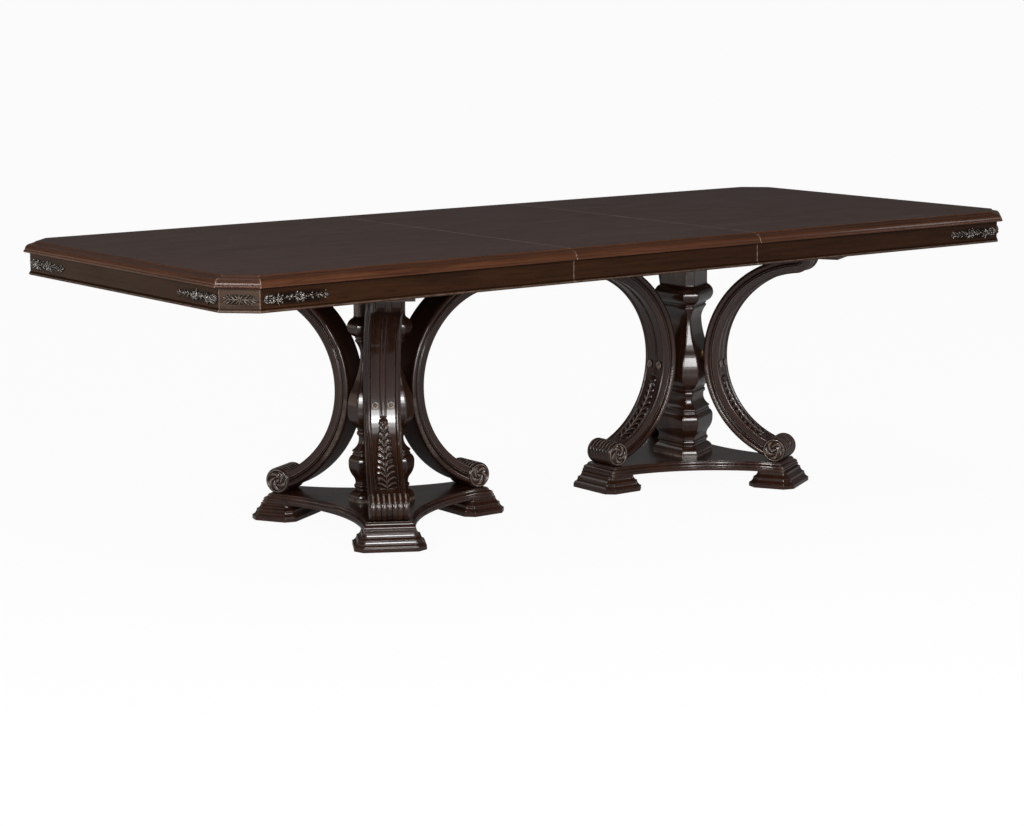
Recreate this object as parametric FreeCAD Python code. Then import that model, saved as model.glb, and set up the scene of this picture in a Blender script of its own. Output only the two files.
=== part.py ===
import FreeCAD, Part
import math
import os

V = FreeCAD.Vector
UP = V(0, 0, 1)
ORIGIN = V(0, 0, 0)

# Extending dining table on two three-armed pedestals, shown with its leaf in place.
# Millimetres. The origin is on the floor under the middle of the top, X runs along the table.

# Top
TABLE_LENGTH = 2590.0
TABLE_WIDTH = 1118.0
TABLE_HEIGHT = 762.0
LEAF_LENGTH = 610.0
CORNER_CLIP = 77.0
TOP_THICKNESS = 27.0
SEAM_GAP = 0.5

# Shaped edge of the top, from the flat outwards and down
MOULDING_WIDTH = 36.0
COVE_RUN = 7.0
COVE_DROP = 5.0
LEDGE_RUN = 2.5
OVOLO_RUN = 15.5
OVOLO_DROP = 14.0
LIP_RUN = 3.0
LIP_DROP = 2.0

# Aprons, corner blocks and glue blocks
APRON_HEIGHT = 59.0
APRON_INSET = 15.0
APRON_THICKNESS = 20.0
BEAD_HEIGHT = 8.0
BEAD_PROUD = 4.0
CORNER_BLOCK_DEPTH = 38.0
GLUE_BLOCK_LEG = 30.0
GLUE_BLOCK_LENGTH = 90.0
GLUE_BLOCK_PITCH = 300.0

# Carved trim on the aprons and corner blocks
CARVING_LENGTH = 182.0
CARVING_THICKNESS = 6.0
CARVING_TIP_HEIGHT = 7.0
CARVING_GAP = 6.0
ROSETTE_DIAMETER = 29.0
LEAF_PANEL_LENGTH = 80.0
LEAF_PANEL_HEIGHT = 28.0
LEAF_PANEL_THICKNESS = 4.0
CARVING_DROP = 28.0

# Pedestals
PEDESTAL_SPACING = 1048.0
GLIDE_DIAMETER = 40.0
GLIDE_HEIGHT = 3.0
FOOT_HEIGHT = 43.0
FOOT_LENGTH = 132.0
FOOT_WIDTH = 184.0
FOOT_CLIP = 22.0
FOOT_FLARE = 22.0
FOOT_BASE_HEIGHT = 12.0
FOOT_STEP = 4.0
PLATFORM_THICKNESS = 26.0
PLATFORM_SETBACK = 30.0
PLATFORM_END_WIDTH = 134.0
PLATFORM_WAIST = 149.0
PLATFORM_STEP = 4.0
PLATFORM_END_STEP = 8.0

# C-shaped arms
ARM_THICKNESS = 45.0
ARM_FRONT_WIDTH = 82.0
ARM_BACK_WIDTH = 97.0
ARM_FLANGE = 21.0
ARM_OFFSET = 69.0
ARM_PANEL_DEPTH = 4.0
ARM_BEAD_WIDTH = 8.0
ARM_RIB_WIDTH = 12.0
SCROLL_RADIUS = 35.0
SCROLL_WIDTH = 98.0
SCROLL_BOSS_RADIUS = 28.0
SCROLL_BOSS_HEIGHT = 2.0
SCROLL_PROUD = 7.0
SCROLL_FLAT = 2.0
SCROLL_ANGLE = 72.7
NOSE_ANGLE = 84.7
ARM_SEAT = 1.0
BUTTON_DIAMETER = 20.0
BUTTON_HEIGHT = 7.0
BUTTON_ANGLE = 4.2

# Faceted column: distance of the wide faces from the axis at each moulding
COLUMN_BASE_HEIGHT = 240.0
COLUMN_CAP_HEIGHT = 190.0
COLUMN_FILLET = 3.0
COLUMN_CHAMFER_OFFSET = 24.0
COLUMN_PLINTH = 63.0
COLUMN_WAIST = 50.0
COLUMN_LOWER_VASE = 63.0
COLUMN_COLLAR = 54.5
COLUMN_CUP = 40.0
COLUMN_BULB = 63.0
COLUMN_NECK = 32.5
COLUMN_RING = 44.5
COLUMN_CUSHION = 62.0
COLUMN_BLOCK = 46.5

# Mounting boards, rails and runners
BOARD_THICKNESS = 25.0
BOARD_WIDTH = 118.0
BOARD_OVERHANG = 82.0
RAIL_OFFSET = 170.0
RAIL_WIDTH = 40.0
RAIL_HEIGHT = 55.0
RAIL_LENGTH = 1380.0
BEAM_WIDTH = 40.0
BEAM_LENGTH = 1240.0
RUNNER_WIDTH = 32.0
RUNNER_REACH = 220.0
RUNNER_SETBACK = 175.0
TONGUE_HEIGHT = 14.0
TONGUE_DEPTH = 9.0
SLIDE_CLEARANCE = 0.5
RUNNER_LIFT = 4.0

# Pins, rods, dowels and screws
PIN_DIAMETER = 10.0
PIN_LENGTH = 45.0
PIN_REACH = 20.0
PIN_PITCH = 300.0
PIN_SHIFT = 40.0
ROD_DIAMETER = 12.0
NUT_ACROSS_FLATS = 19.0
NUT_HEIGHT = 10.0
NUT_RECESS = 12.0
DOWEL_DIAMETER = 24.0
DOWEL_SEAT = 25.0
SCREW_DIAMETER = 6.0
SCREW_HEAD_DIAMETER = 12.0
SCREW_HEAD_HEIGHT = 4.0
SCREW_RECESS = 5.0
SCREW_BITE = 25.0
FOOT_SCREW_SPREAD = 45.0
FIT = 0.05
RUNNER_SCREWS = 4

# Levels and places that follow from the sizes above
UNDERSIDE = TABLE_HEIGHT - TOP_THICKNESS
BOARD_TOP = UNDERSIDE - APRON_HEIGHT
BOARD_BOTTOM = BOARD_TOP - BOARD_THICKNESS
FOOT_TOP = GLIDE_HEIGHT + FOOT_HEIGHT
PLATFORM_TOP = FOOT_TOP + PLATFORM_THICKNESS
HALF_LENGTH = TABLE_LENGTH / 2
HALF_WIDTH = TABLE_WIDTH / 2
SEAM_X = LEAF_LENGTH / 2 + SEAM_GAP / 2
LEAF_EDGE_X = LEAF_LENGTH / 2 - SEAM_GAP / 2
PEDESTAL_X = PEDESTAL_SPACING / 2

# The arm's arc rises to a nose under the mounting board and ends in a scroll on the platform
SCROLL_SINE = math.sin(math.radians(SCROLL_ANGLE))
SCROLL_COSINE = math.cos(math.radians(SCROLL_ANGLE))
NOSE_SINE = math.sin(math.radians(NOSE_ANGLE))
NOSE_COSINE = math.cos(math.radians(NOSE_ANGLE))
SCROLL_Z = PLATFORM_TOP + SCROLL_RADIUS - SCROLL_FLAT
NOSE_Z = BOARD_BOTTOM + ARM_SEAT
ARM_BACK_RADIUS = (
    NOSE_Z - SCROLL_Z + (SCROLL_RADIUS - SCROLL_PROUD) * SCROLL_SINE
) / (NOSE_SINE + SCROLL_SINE)
ARM_FRONT_RADIUS = ARM_BACK_RADIUS - ARM_THICKNESS
ARM_CENTRE_X = ARM_OFFSET + ARM_BACK_RADIUS
ARM_CENTRE_Z = NOSE_Z - ARM_BACK_RADIUS * NOSE_SINE
SCROLL_X = ARM_CENTRE_X - (ARM_BACK_RADIUS - SCROLL_RADIUS + SCROLL_PROUD) * SCROLL_COSINE
NOSE_X = ARM_CENTRE_X - ARM_BACK_RADIUS * NOSE_COSINE
ARM_TIP_X = NOSE_X + ARM_THICKNESS
BOARD_REACH = ARM_TIP_X + BOARD_OVERHANG
FOOT_X = SCROLL_X
FOOT_OUTER_X = FOOT_X + FOOT_LENGTH / 2
PLATFORM_END_X = FOOT_OUTER_X - PLATFORM_SETBACK
ARM_ANGLES = {"inner": 0.0, "back": 120.0, "front": 240.0}


def box(x0, x1, y0, y1, z0, z1):
    return Part.makeBox(x1 - x0, y1 - y0, z1 - z0, V(x0, y0, z0))


def rod(start, end, radius):
    axis = end.sub(start)
    return Part.makeCylinder(radius, axis.Length, start, axis)


def fuse(shapes):
    joined = shapes[0]
    if len(shapes) > 1:
        joined = joined.fuse(shapes[1:])
    return joined.removeSplitter()


def cut(shape, tools):
    return shape.cut(tools) if tools else shape


def turned(shape, angle, centre=ORIGIN, axis=UP):
    copy = shape.copy()
    copy.rotate(centre, axis, angle)
    return copy


def moved(shape, x=0.0, y=0.0, z=0.0):
    copy = shape.copy()
    copy.translate(V(x, y, z))
    return copy


def polygon(points):
    corners = [V(*p) for p in points]
    return Part.makePolygon(corners + corners[:1])


def prism(points, z0, z1):
    flat = Part.Face(polygon([(x, y, z0) for x, y in points]))
    return flat.extrude(V(0, 0, z1 - z0))


def trace(start, steps, place):
    """Closed wire; a step is an end point, or a point on the way and an end point for an arc."""
    edges = []
    here = start
    for step in steps:
        end = step[-1]
        if len(step) == 2:
            edges.append(Part.Arc(place(*here), place(*step[0]), place(*end)).toShape())
        else:
            edges.append(Part.LineSegment(place(*here), place(*end)).toShape())
        here = end
    edges.append(Part.LineSegment(place(*here), place(*start)).toShape())
    return Part.Wire(edges)


def screw(x, y, head_z, length, rising):
    """Screw at (x, y) with its head's outer face at head_z; rising screws point up."""
    way = 1.0 if rising else -1.0
    neck = V(x, y, head_z + way * SCREW_HEAD_HEIGHT)
    head = rod(V(x, y, head_z), neck, SCREW_HEAD_DIAMETER / 2)
    shank = rod(neck, V(x, y, head_z + way * length), SCREW_DIAMETER / 2)
    return fuse([head, shank])


def screw_hole(x, y, head_z, length, rising, mouth):
    """Clearance for that screw, with the head's recess opened back to the level mouth."""
    way = 1.0 if rising else -1.0
    neck = V(x, y, head_z + way * SCREW_HEAD_HEIGHT)
    recess = rod(V(x, y, mouth - way * FIT), neck, SCREW_HEAD_DIAMETER / 2 + FIT)
    shank = rod(neck, V(x, y, head_z + way * (length + FIT)), SCREW_DIAMETER / 2 + FIT)
    return fuse([recess, shank])


# Plan outlines of the top

def half_outline():
    """Left half of the top, anticlockwise: front, seam, back, clip, end, clip."""
    end = -HALF_LENGTH
    inner = end + CORNER_CLIP
    side = HALF_WIDTH - CORNER_CLIP
    return [
        (inner, -HALF_WIDTH),
        (-SEAM_X, -HALF_WIDTH),
        (-SEAM_X, HALF_WIDTH),
        (inner, HALF_WIDTH),
        (end, side),
        (end, -side),
    ]


def leaf_outline():
    """Leaf, anticlockwise: front, seam, back, seam."""
    x = LEAF_EDGE_X
    return [(-x, -HALF_WIDTH), (x, -HALF_WIDTH), (x, HALF_WIDTH), (-x, HALF_WIDTH)]


HALF_SIDES = ["front", "seam", "back", "back_corner", "end", "front_corner"]
LEAF_SIDES = ["front", "seam", "back", "seam"]


def edge_frame(outline, index):
    """Start, direction and inward normal of one edge."""
    ax, ay = outline[index]
    bx, by = outline[(index + 1) % len(outline)]
    length = math.hypot(bx - ax, by - ay)
    ux, uy = (bx - ax) / length, (by - ay) / length
    return (ax, ay), (ux, uy), (-uy, ux), length


def inset_corner(outline, sides, index, inset):
    """Corner where an edge and the one before it meet, with all edges but the seams moved in."""
    before = (index - 1) % len(outline)
    (px, py), (dx, dy), (mx, my), _ = edge_frame(outline, before)
    (qx, qy), (ex, ey), (nx, ny), _ = edge_frame(outline, index)
    a = 0.0 if sides[before] == "seam" else inset
    b = 0.0 if sides[index] == "seam" else inset
    px, py = px + a * mx, py + a * my
    qx, qy = qx + b * nx, qy + b * ny
    share = ((qx - px) * ey - (qy - py) * ex) / (dx * ey - dy * ex)
    return px + share * dx, py + share * dy


def inset_outline(outline, sides, inset):
    return [inset_corner(outline, sides, i, inset) for i in range(len(outline))]


def edge_piece(outline, sides, side, start, steps, near, far):
    """Profile drawn as (inset, height), run along one edge and mitred at both ends."""
    index = sides.index(side)
    (ax, ay), (ux, uy), (nx, ny), length = edge_frame(outline, index)

    def place(inset, z):
        return V(ax - far * ux + inset * nx, ay - far * uy + inset * ny, z)

    run = length + 2 * far
    strip = Part.Face(trace(start, steps, place)).extrude(V(run * ux, run * uy, 0))
    following = (index + 1) % len(outline)
    corners = [
        inset_corner(outline, sides, index, near),
        inset_corner(outline, sides, following, near),
        inset_corner(outline, sides, following, far),
        inset_corner(outline, sides, index, far),
    ]
    return strip.common(prism(corners, BOARD_TOP, TABLE_HEIGHT))


# Pieces of the top

def moulding(outline, sides, side):
    """Edge of the top: cove, ledge, ovolo and a square lip."""
    top = TABLE_HEIGHT
    lip_inset = LIP_RUN
    ledge_inset = lip_inset + OVOLO_RUN
    cove_inset = ledge_inset + LEDGE_RUN
    flat_inset = cove_inset + COVE_RUN
    lip_top = top - COVE_DROP - OVOLO_DROP - LIP_DROP
    cove_mid = (cove_inset + 0.63 * COVE_RUN, top - 0.74 * COVE_DROP)
    ovolo_mid = (lip_inset + 0.33 * OVOLO_RUN, top - COVE_DROP - 0.3 * OVOLO_DROP)
    steps = [
        [(flat_inset, top)],
        [cove_mid, (cove_inset, top - COVE_DROP)],
        [(ledge_inset, top - COVE_DROP)],
        [ovolo_mid, (lip_inset, top - COVE_DROP - OVOLO_DROP)],
        [(lip_inset, lip_top)],
        [(0.0, lip_top)],
        [(0.0, UNDERSIDE)],
        [(MOULDING_WIDTH, UNDERSIDE)],
    ]
    return edge_piece(outline, sides, side, (MOULDING_WIDTH, top), steps, 0.0, MOULDING_WIDTH)


def apron(outline, sides, side, thickness):
    """Apron board or corner block with a half-round bead along its bottom edge."""
    face = APRON_INSET
    back = APRON_INSET + thickness
    bead_top = BOARD_TOP + BEAD_HEIGHT
    steps = [
        [(face, bead_top)],
        [(face - BEAD_PROUD, BOARD_TOP + BEAD_HEIGHT / 2), (face, BOARD_TOP)],
        [(back, BOARD_TOP)],
        [(back, UNDERSIDE)],
    ]
    return edge_piece(outline, sides, side, (face, UNDERSIDE), steps, face - BEAD_PROUD, back)


def panel(outline, sides):
    return prism(inset_outline(outline, sides, MOULDING_WIDTH), UNDERSIDE, TABLE_HEIGHT)


def along_edge(outline, index, distance, inset):
    (ax, ay), (ux, uy), (nx, ny), _ = edge_frame(outline, index)
    return ax + distance * ux + inset * nx, ay + distance * uy + inset * ny


def glue_blocks(outline, sides, places):
    """Three-cornered blocks between the aprons and the underside of the top."""
    inset = APRON_INSET + APRON_THICKNESS
    blocks = []
    for place in places:
        index = sides.index(place)
        _, (ux, uy), (nx, ny), length = edge_frame(outline, index)
        count = max(1, int(length / GLUE_BLOCK_PITCH))
        for i in range(count):
            middle = length * (i + 0.5) / count
            x, y = along_edge(outline, index, middle - GLUE_BLOCK_LENGTH / 2, inset)
            leg = GLUE_BLOCK_LEG
            section = polygon([
                (x, y, UNDERSIDE),
                (x + leg * nx, y + leg * ny, UNDERSIDE),
                (x, y, UNDERSIDE - leg),
            ])
            run = V(GLUE_BLOCK_LENGTH * ux, GLUE_BLOCK_LENGTH * uy, 0)
            blocks.append(Part.Face(section).extrude(run))
    return blocks


def vine(outline, side, from_start):
    """Carved trim on an apron: a rosette beside the corner block and a vine that tapers off."""
    index = HALF_SIDES.index(side)
    _, (ux, uy), (nx, ny), _ = edge_frame(outline, index)
    corner = index if from_start else (index + 1) % len(outline)
    cx, cy = inset_corner(outline, HALF_SIDES, corner, APRON_INSET)
    way = 1.0 if from_start else -1.0
    middle = UNDERSIDE - CARVING_DROP
    radius = ROSETTE_DIAMETER / 2
    rosette_at = CARVING_GAP + radius

    def place(run, z):
        return V(cx + way * run * ux, cy + way * run * uy, z)

    start = (rosette_at, middle + radius * 0.7)
    tip = CARVING_TIP_HEIGHT / 2
    steps = [
        [(CARVING_LENGTH - tip, middle + tip)],
        [(CARVING_LENGTH, middle), (CARVING_LENGTH - tip, middle - tip)],
        [(rosette_at, middle - radius * 0.7)],
    ]
    outward = V(-nx, -ny, 0)
    body = Part.Face(trace(start, steps, place)).extrude(outward * (CARVING_THICKNESS * 0.7))
    centre = place(rosette_at, middle)
    rosette = Part.makeCylinder(radius, CARVING_THICKNESS, centre, outward)
    return fuse([body, rosette])


def leaf_carving(outline, side):
    """Carved leaf panel in the middle of a corner block."""
    index = HALF_SIDES.index(side)
    _, (ux, uy), (nx, ny), length = edge_frame(outline, index)
    x, y = along_edge(outline, index, length / 2, APRON_INSET)
    middle = UNDERSIDE - CARVING_DROP
    half = LEAF_PANEL_LENGTH / 2
    rise = LEAF_PANEL_HEIGHT / 2
    waist = rise * 0.6

    def place(run, z):
        return V(x + run * ux, y + run * uy, z)

    steps = [
        [(0.0, middle - waist), (half, middle - rise)],
        [(half, middle + rise)],
        [(0.0, middle + waist), (-half, middle + rise)],
    ]
    face = Part.Face(trace((-half, middle - rise), steps, place))
    return face.extrude(V(-nx, -ny, 0) * LEAF_PANEL_THICKNESS)


# Locating pins between the half tops and the leaf

PIN_Z = UNDERSIDE + TOP_THICKNESS / 2
PIN_PLACES = [i * PIN_PITCH - PIN_SHIFT for i in (-1, 0, 1)]


def pins():
    """Pins set in the left half's seam edge, standing out towards the leaf."""
    tip = -SEAM_X + PIN_REACH
    return [rod(V(tip - PIN_LENGTH, y, PIN_Z), V(tip, y, PIN_Z), PIN_DIAMETER / 2) for y in PIN_PLACES]


def pin_holes():
    """Blind holes for the half's own pins and for the other half's when the leaf is out."""
    radius = PIN_DIAMETER / 2 + FIT
    own = PIN_LENGTH - PIN_REACH
    holes = []
    for y, depth in [(y, own) for y in PIN_PLACES] + [(-y, PIN_REACH + 1.0) for y in PIN_PLACES]:
        holes.append(rod(V(-SEAM_X - depth, y, PIN_Z), V(-SEAM_X + 1.0, y, PIN_Z), radius))
    return holes


def pin_notches():
    """Notches in the leaf's left edge, open below, so that the leaf drops over the pins."""
    half = PIN_DIAMETER / 2 + SLIDE_CLEARANCE
    depth = -SEAM_X + PIN_REACH + SLIDE_CLEARANCE
    notches = []
    for y in PIN_PLACES:
        notches.append(box(-SEAM_X, depth, y - half, y + half, UNDERSIDE - 1.0, PIN_Z))
        notches.append(rod(V(-SEAM_X, y, PIN_Z), V(depth, y, PIN_Z), half))
    return notches


# Slide rails and runners

TONGUE_Z = BOARD_TOP + RAIL_HEIGHT / 2
RUNNER_BOTTOM = BOARD_TOP + RUNNER_LIFT


def slide_rail(y):
    """Fixed rail, grooved on both sides."""
    half = RAIL_LENGTH / 2
    body = box(-half, half, y - RAIL_WIDTH / 2, y + RAIL_WIDTH / 2, BOARD_TOP, BOARD_TOP + RAIL_HEIGHT)
    depth = TONGUE_DEPTH + SLIDE_CLEARANCE
    z0 = TONGUE_Z - TONGUE_HEIGHT / 2 - SLIDE_CLEARANCE
    z1 = TONGUE_Z + TONGUE_HEIGHT / 2 + SLIDE_CLEARANCE
    left = y - RAIL_WIDTH / 2
    right = y + RAIL_WIDTH / 2
    grooves = [
        box(-half - 1, half + 1, left - 1, left + depth, z0, z1),
        box(-half - 1, half + 1, right - depth, right + 1, z0, z1),
    ]
    return cut(body, grooves)


def runner(rail_y, side):
    """Left half's runner beside a rail, on the side given by the sign, with its tongue."""
    face = rail_y + side * (RAIL_WIDTH / 2 + SLIDE_CLEARANCE)
    back = face + side * RUNNER_WIDTH
    tip = face - side * TONGUE_DEPTH
    x0 = -HALF_LENGTH + RUNNER_SETBACK
    x1 = RUNNER_REACH
    body = box(x0, x1, min(face, back), max(face, back), RUNNER_BOTTOM, UNDERSIDE)
    z0 = TONGUE_Z - TONGUE_HEIGHT / 2
    z1 = TONGUE_Z + TONGUE_HEIGHT / 2
    tongue = box(x0, x1, min(face, tip), max(face, tip), z0, z1)
    return fuse([body, tongue])


def runner_screw_places(rail_y, side):
    y = rail_y + side * (RAIL_WIDTH / 2 + SLIDE_CLEARANCE + RUNNER_WIDTH / 2)
    first = -HALF_LENGTH + RUNNER_SETBACK + RUNNER_WIDTH
    last = -SEAM_X - RUNNER_WIDTH - PIN_LENGTH
    step = (last - first) / (RUNNER_SCREWS - 1)
    return [(first + i * step, y) for i in range(RUNNER_SCREWS)]


RUNNER_SCREW_BITE = TOP_THICKNESS * 0.6
RUNNER_SCREW_LENGTH = RUNNER_SCREW_BITE + SCREW_BITE
RUNNER_SCREW_Z = UNDERSIDE + RUNNER_SCREW_BITE - RUNNER_SCREW_LENGTH


# Pedestal pieces, drawn for the left pedestal about its own axis

def star(end, width, waist, z0, z1):
    """Three-pointed plate with square ends and hollow sides."""
    edges = []
    for k in range(3):
        angle = math.radians(120.0 * k)
        c, s = math.cos(angle), math.sin(angle)
        right = V(end * c + width / 2 * s, end * s - width / 2 * c, z0)
        left = V(end * c - width / 2 * s, end * s + width / 2 * c, z0)
        edges.append(Part.LineSegment(right, left).toShape())
        angle_next = math.radians(120.0 * (k + 1))
        cn, sn = math.cos(angle_next), math.sin(angle_next)
        follow = V(end * cn + width / 2 * sn, end * sn - width / 2 * cn, z0)
        between = angle + math.radians(60.0)
        middle = V(waist * math.cos(between), waist * math.sin(between), z0)
        edges.append(Part.Arc(left, middle, follow).toShape())
    return Part.Face(Part.Wire(edges)).extrude(V(0, 0, z1 - z0))


def platform():
    """Platform with its edge moulded in three steps."""
    layers = []
    shares = [0.0, 0.34, 0.7, 1.0]
    for i in range(3):
        step = i * PLATFORM_STEP
        end = PLATFORM_END_X - i * PLATFORM_END_STEP
        z0 = FOOT_TOP + shares[i] * PLATFORM_THICKNESS
        z1 = FOOT_TOP + shares[i + 1] * PLATFORM_THICKNESS
        layers.append(star(end, PLATFORM_END_WIDTH - 2 * step, PLATFORM_WAIST - step, z0, z1))
    return fuse(layers)


def clipped_block(inset, z):
    """Outline of a foot at one level: a rectangle with clipped corners."""
    x0 = FOOT_X - FOOT_LENGTH / 2 + inset
    x1 = FOOT_X + FOOT_LENGTH / 2 - inset
    y = FOOT_WIDTH / 2 - inset
    c = FOOT_CLIP - inset * (2 - math.sqrt(2))
    return polygon([
        (x0 + c, -y, z), (x1 - c, -y, z), (x1, -y + c, z), (x1, y - c, z),
        (x1 - c, y, z), (x0 + c, y, z), (x0, y - c, z), (x0, -y + c, z),
    ])


def foot():
    """Stepped block foot: a plain base, a sloping band, and a hollow band under the platform."""
    z0 = GLIDE_HEIGHT
    z1 = z0 + FOOT_BASE_HEIGHT
    z2 = (z1 + FOOT_TOP) / 2
    band = (FOOT_FLARE - 2 * FOOT_STEP) / 2
    levels = [
        (z0, 0.0, z1, 0.0),
        (z1, FOOT_STEP, z2, FOOT_STEP + band),
        (z2, 2 * FOOT_STEP + band, FOOT_TOP, FOOT_FLARE),
    ]
    tiers = [
        Part.makeLoft([clipped_block(a, low), clipped_block(b, high)], True, True)
        for low, a, high, b in levels
    ]
    return fuse(tiers)


def column_profile(offset):
    """Half outline of the column: distance of a face from the axis against height."""
    low = PLATFORM_TOP
    high = BOARD_BOTTOM
    bulb_z = low + COLUMN_BASE_HEIGHT
    neck_z = high - COLUMN_CAP_HEIGHT
    rise = neck_z - bulb_z
    bulb, neck = COLUMN_BULB, COLUMN_NECK
    shoulder = neck + 0.7 * (bulb - neck)
    lip = COLUMN_FILLET
    waist, vase = COLUMN_WAIST, COLUMN_LOWER_VASE
    collar, ring = COLUMN_COLLAR, COLUMN_RING

    def up(share):
        return low + share * COLUMN_BASE_HEIGHT

    def down(share):
        return high - share * COLUMN_CAP_HEIGHT

    steps = [
        # plinth with a rounded top, and a ring above it
        [(COLUMN_PLINTH, up(0.067))],
        [(COLUMN_PLINTH - 0.4 * lip, up(0.09)), (COLUMN_PLINTH - 2 * lip, up(0.104))],
        [(waist, up(0.109))],
        [(waist, up(0.142))],
        [(waist + 0.7 * lip, up(0.15))],
        [(waist + 0.7 * lip, up(0.196))],
        [(waist + 0.2 * lip, up(0.204))],
        # lower vase with two collars on its shoulder
        [((waist + vase) / 2 + 0.4 * lip, up(0.323)), (vase, up(0.438))],
        [(vase - 0.3 * lip, up(0.475)), (vase - 2 * lip, up(0.502))],
        [(collar, up(0.508))],
        [(collar, up(0.525))],
        [(collar - 0.7 * lip, up(0.53))],
        [(collar - 0.7 * lip, up(0.542))],
        [(collar, up(0.547))],
        [(collar, up(0.562))],
        # hollow cup, bead and fillet
        [(COLUMN_CUP + 1.3 * lip, up(0.61)), (COLUMN_CUP, up(0.717))],
        [(COLUMN_CUP + 1.2 * lip, up(0.746)), (COLUMN_CUP + 0.2 * lip, up(0.775))],
        [(COLUMN_CUP + 0.8 * lip, up(0.783))],
        [(COLUMN_CUP + 0.8 * lip, up(0.8))],
        # bulb and long taper
        [(bulb - 2 * lip, up(0.867)), (bulb, bulb_z)],
        [(bulb - 0.7 * lip, bulb_z + 0.195 * rise), (shoulder, bulb_z + 0.362 * rise)],
        [(neck + 0.335 * (shoulder - neck), bulb_z + 0.658 * rise), (neck, neck_z)],
        # flare, two rings, cushion and block
        [(neck + 0.9 * lip, down(0.926)), (ring - 0.5 * lip, down(0.838))],
        [(ring, down(0.832))],
        [(ring, down(0.805))],
        [(ring - 0.8 * lip, down(0.8))],
        [(ring - 0.8 * lip, down(0.79))],
        [(ring, down(0.784))],
        [(ring, down(0.763))],
        [(ring + lip, down(0.758))],
        [(COLUMN_CUSHION, down(0.647)), (COLUMN_BLOCK + 0.5 * lip, down(0.5))],
        [(COLUMN_BLOCK, down(0.479))],
        [(COLUMN_BLOCK, high)],
    ]
    far = -2 * FOOT_WIDTH
    shifted = [[(r + offset, z) for r, z in step] for step in steps]
    start = (COLUMN_PLINTH + offset, low)
    return start, shifted + [[(far, high)], [(far, low)]]


def column():
    """Six-sided baluster: three wide faces behind the arms and three chamfers between them."""
    reach = 2 * FOOT_WIDTH

    def place(x, z):
        return V(x, -reach, z)

    body = None
    for offset, first in ((0.0, 0.0), (COLUMN_CHAMFER_OFFSET, 60.0)):
        start, steps = column_profile(offset)
        slab = Part.Face(trace(start, steps, place)).extrude(V(0, 2 * reach, 0))
        for k in range(3):
            side = turned(slab, first + 120.0 * k)
            body = side if body is None else body.common(side)
    bore = rod(V(0, 0, PLATFORM_TOP - 1), V(0, 0, BOARD_BOTTOM + 1), ROD_DIAMETER / 2 + FIT)
    seats = [turned(dowel(FIT), angle) for angle in ARM_ANGLES.values()]
    return cut(body, [bore] + seats)


def arm_section():
    """Section of an arm: beads at the front edges, two sunk panels with a rib, a wider back."""
    front = ARM_FRONT_RADIUS
    back = ARM_BACK_RADIUS
    panel_r = front + ARM_PANEL_DEPTH
    rib_r = front + ARM_PANEL_DEPTH * 0.25
    flange_r = back - ARM_FLANGE
    half_front = ARM_FRONT_WIDTH / 2
    half_back = ARM_BACK_WIDTH / 2
    slope = ARM_PANEL_DEPTH / 2
    rib = ARM_RIB_WIDTH / 2
    spread = half_back - half_front
    half = [
        (rib_r, rib),
        (panel_r, rib + slope),
        (panel_r, half_front - ARM_BEAD_WIDTH - slope),
        (front, half_front - ARM_BEAD_WIDTH),
        (front, half_front),
        (flange_r - spread, half_front),
        (flange_r, half_back),
        (back - spread, half_back),
        (back, half_front),
    ]
    ring = half + [(r, -y) for r, y in reversed(half)]
    return polygon([(ARM_CENTRE_X - r, y, ARM_CENTRE_Z) for r, y in ring])


def dowel(clearance):
    """Dowel between the column and the back of an arm at the middle of the arc."""
    start = V(ARM_OFFSET - 2 * DOWEL_SEAT + DOWEL_DIAMETER / 2 - clearance, 0, ARM_CENTRE_Z)
    end = V(ARM_OFFSET + DOWEL_SEAT + clearance, 0, ARM_CENTRE_Z)
    return rod(start, end, DOWEL_DIAMETER / 2 + clearance)


ARM_TOP_SCREW_X = NOSE_X + SCREW_DIAMETER
ARM_TOP_SCREW_LENGTH = BOARD_THICKNESS - SCREW_RECESS + SCREW_HEAD_HEIGHT + SCREW_BITE
ARM_FOOT_SCREW_LENGTH = PLATFORM_THICKNESS - SCREW_RECESS + SCREW_HEAD_HEIGHT + SCREW_BITE
ARM_TOP_HEAD_Z = BOARD_TOP - SCREW_RECESS + SCREW_HEAD_HEIGHT
ARM_FOOT_HEAD_Z = FOOT_TOP + SCREW_RECESS - SCREW_HEAD_HEIGHT


def arm_screws():
    return [
        screw(ARM_TOP_SCREW_X, 0, ARM_TOP_HEAD_Z, ARM_TOP_SCREW_LENGTH, False),
        screw(SCROLL_X, 0, ARM_FOOT_HEAD_Z, ARM_FOOT_SCREW_LENGTH, True),
    ]


def arm_screw_holes():
    return [
        screw_hole(ARM_TOP_SCREW_X, 0, ARM_TOP_HEAD_Z, ARM_TOP_SCREW_LENGTH, False, BOARD_TOP),
        screw_hole(SCROLL_X, 0, ARM_FOOT_HEAD_Z, ARM_FOOT_SCREW_LENGTH, True, FOOT_TOP),
    ]


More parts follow.
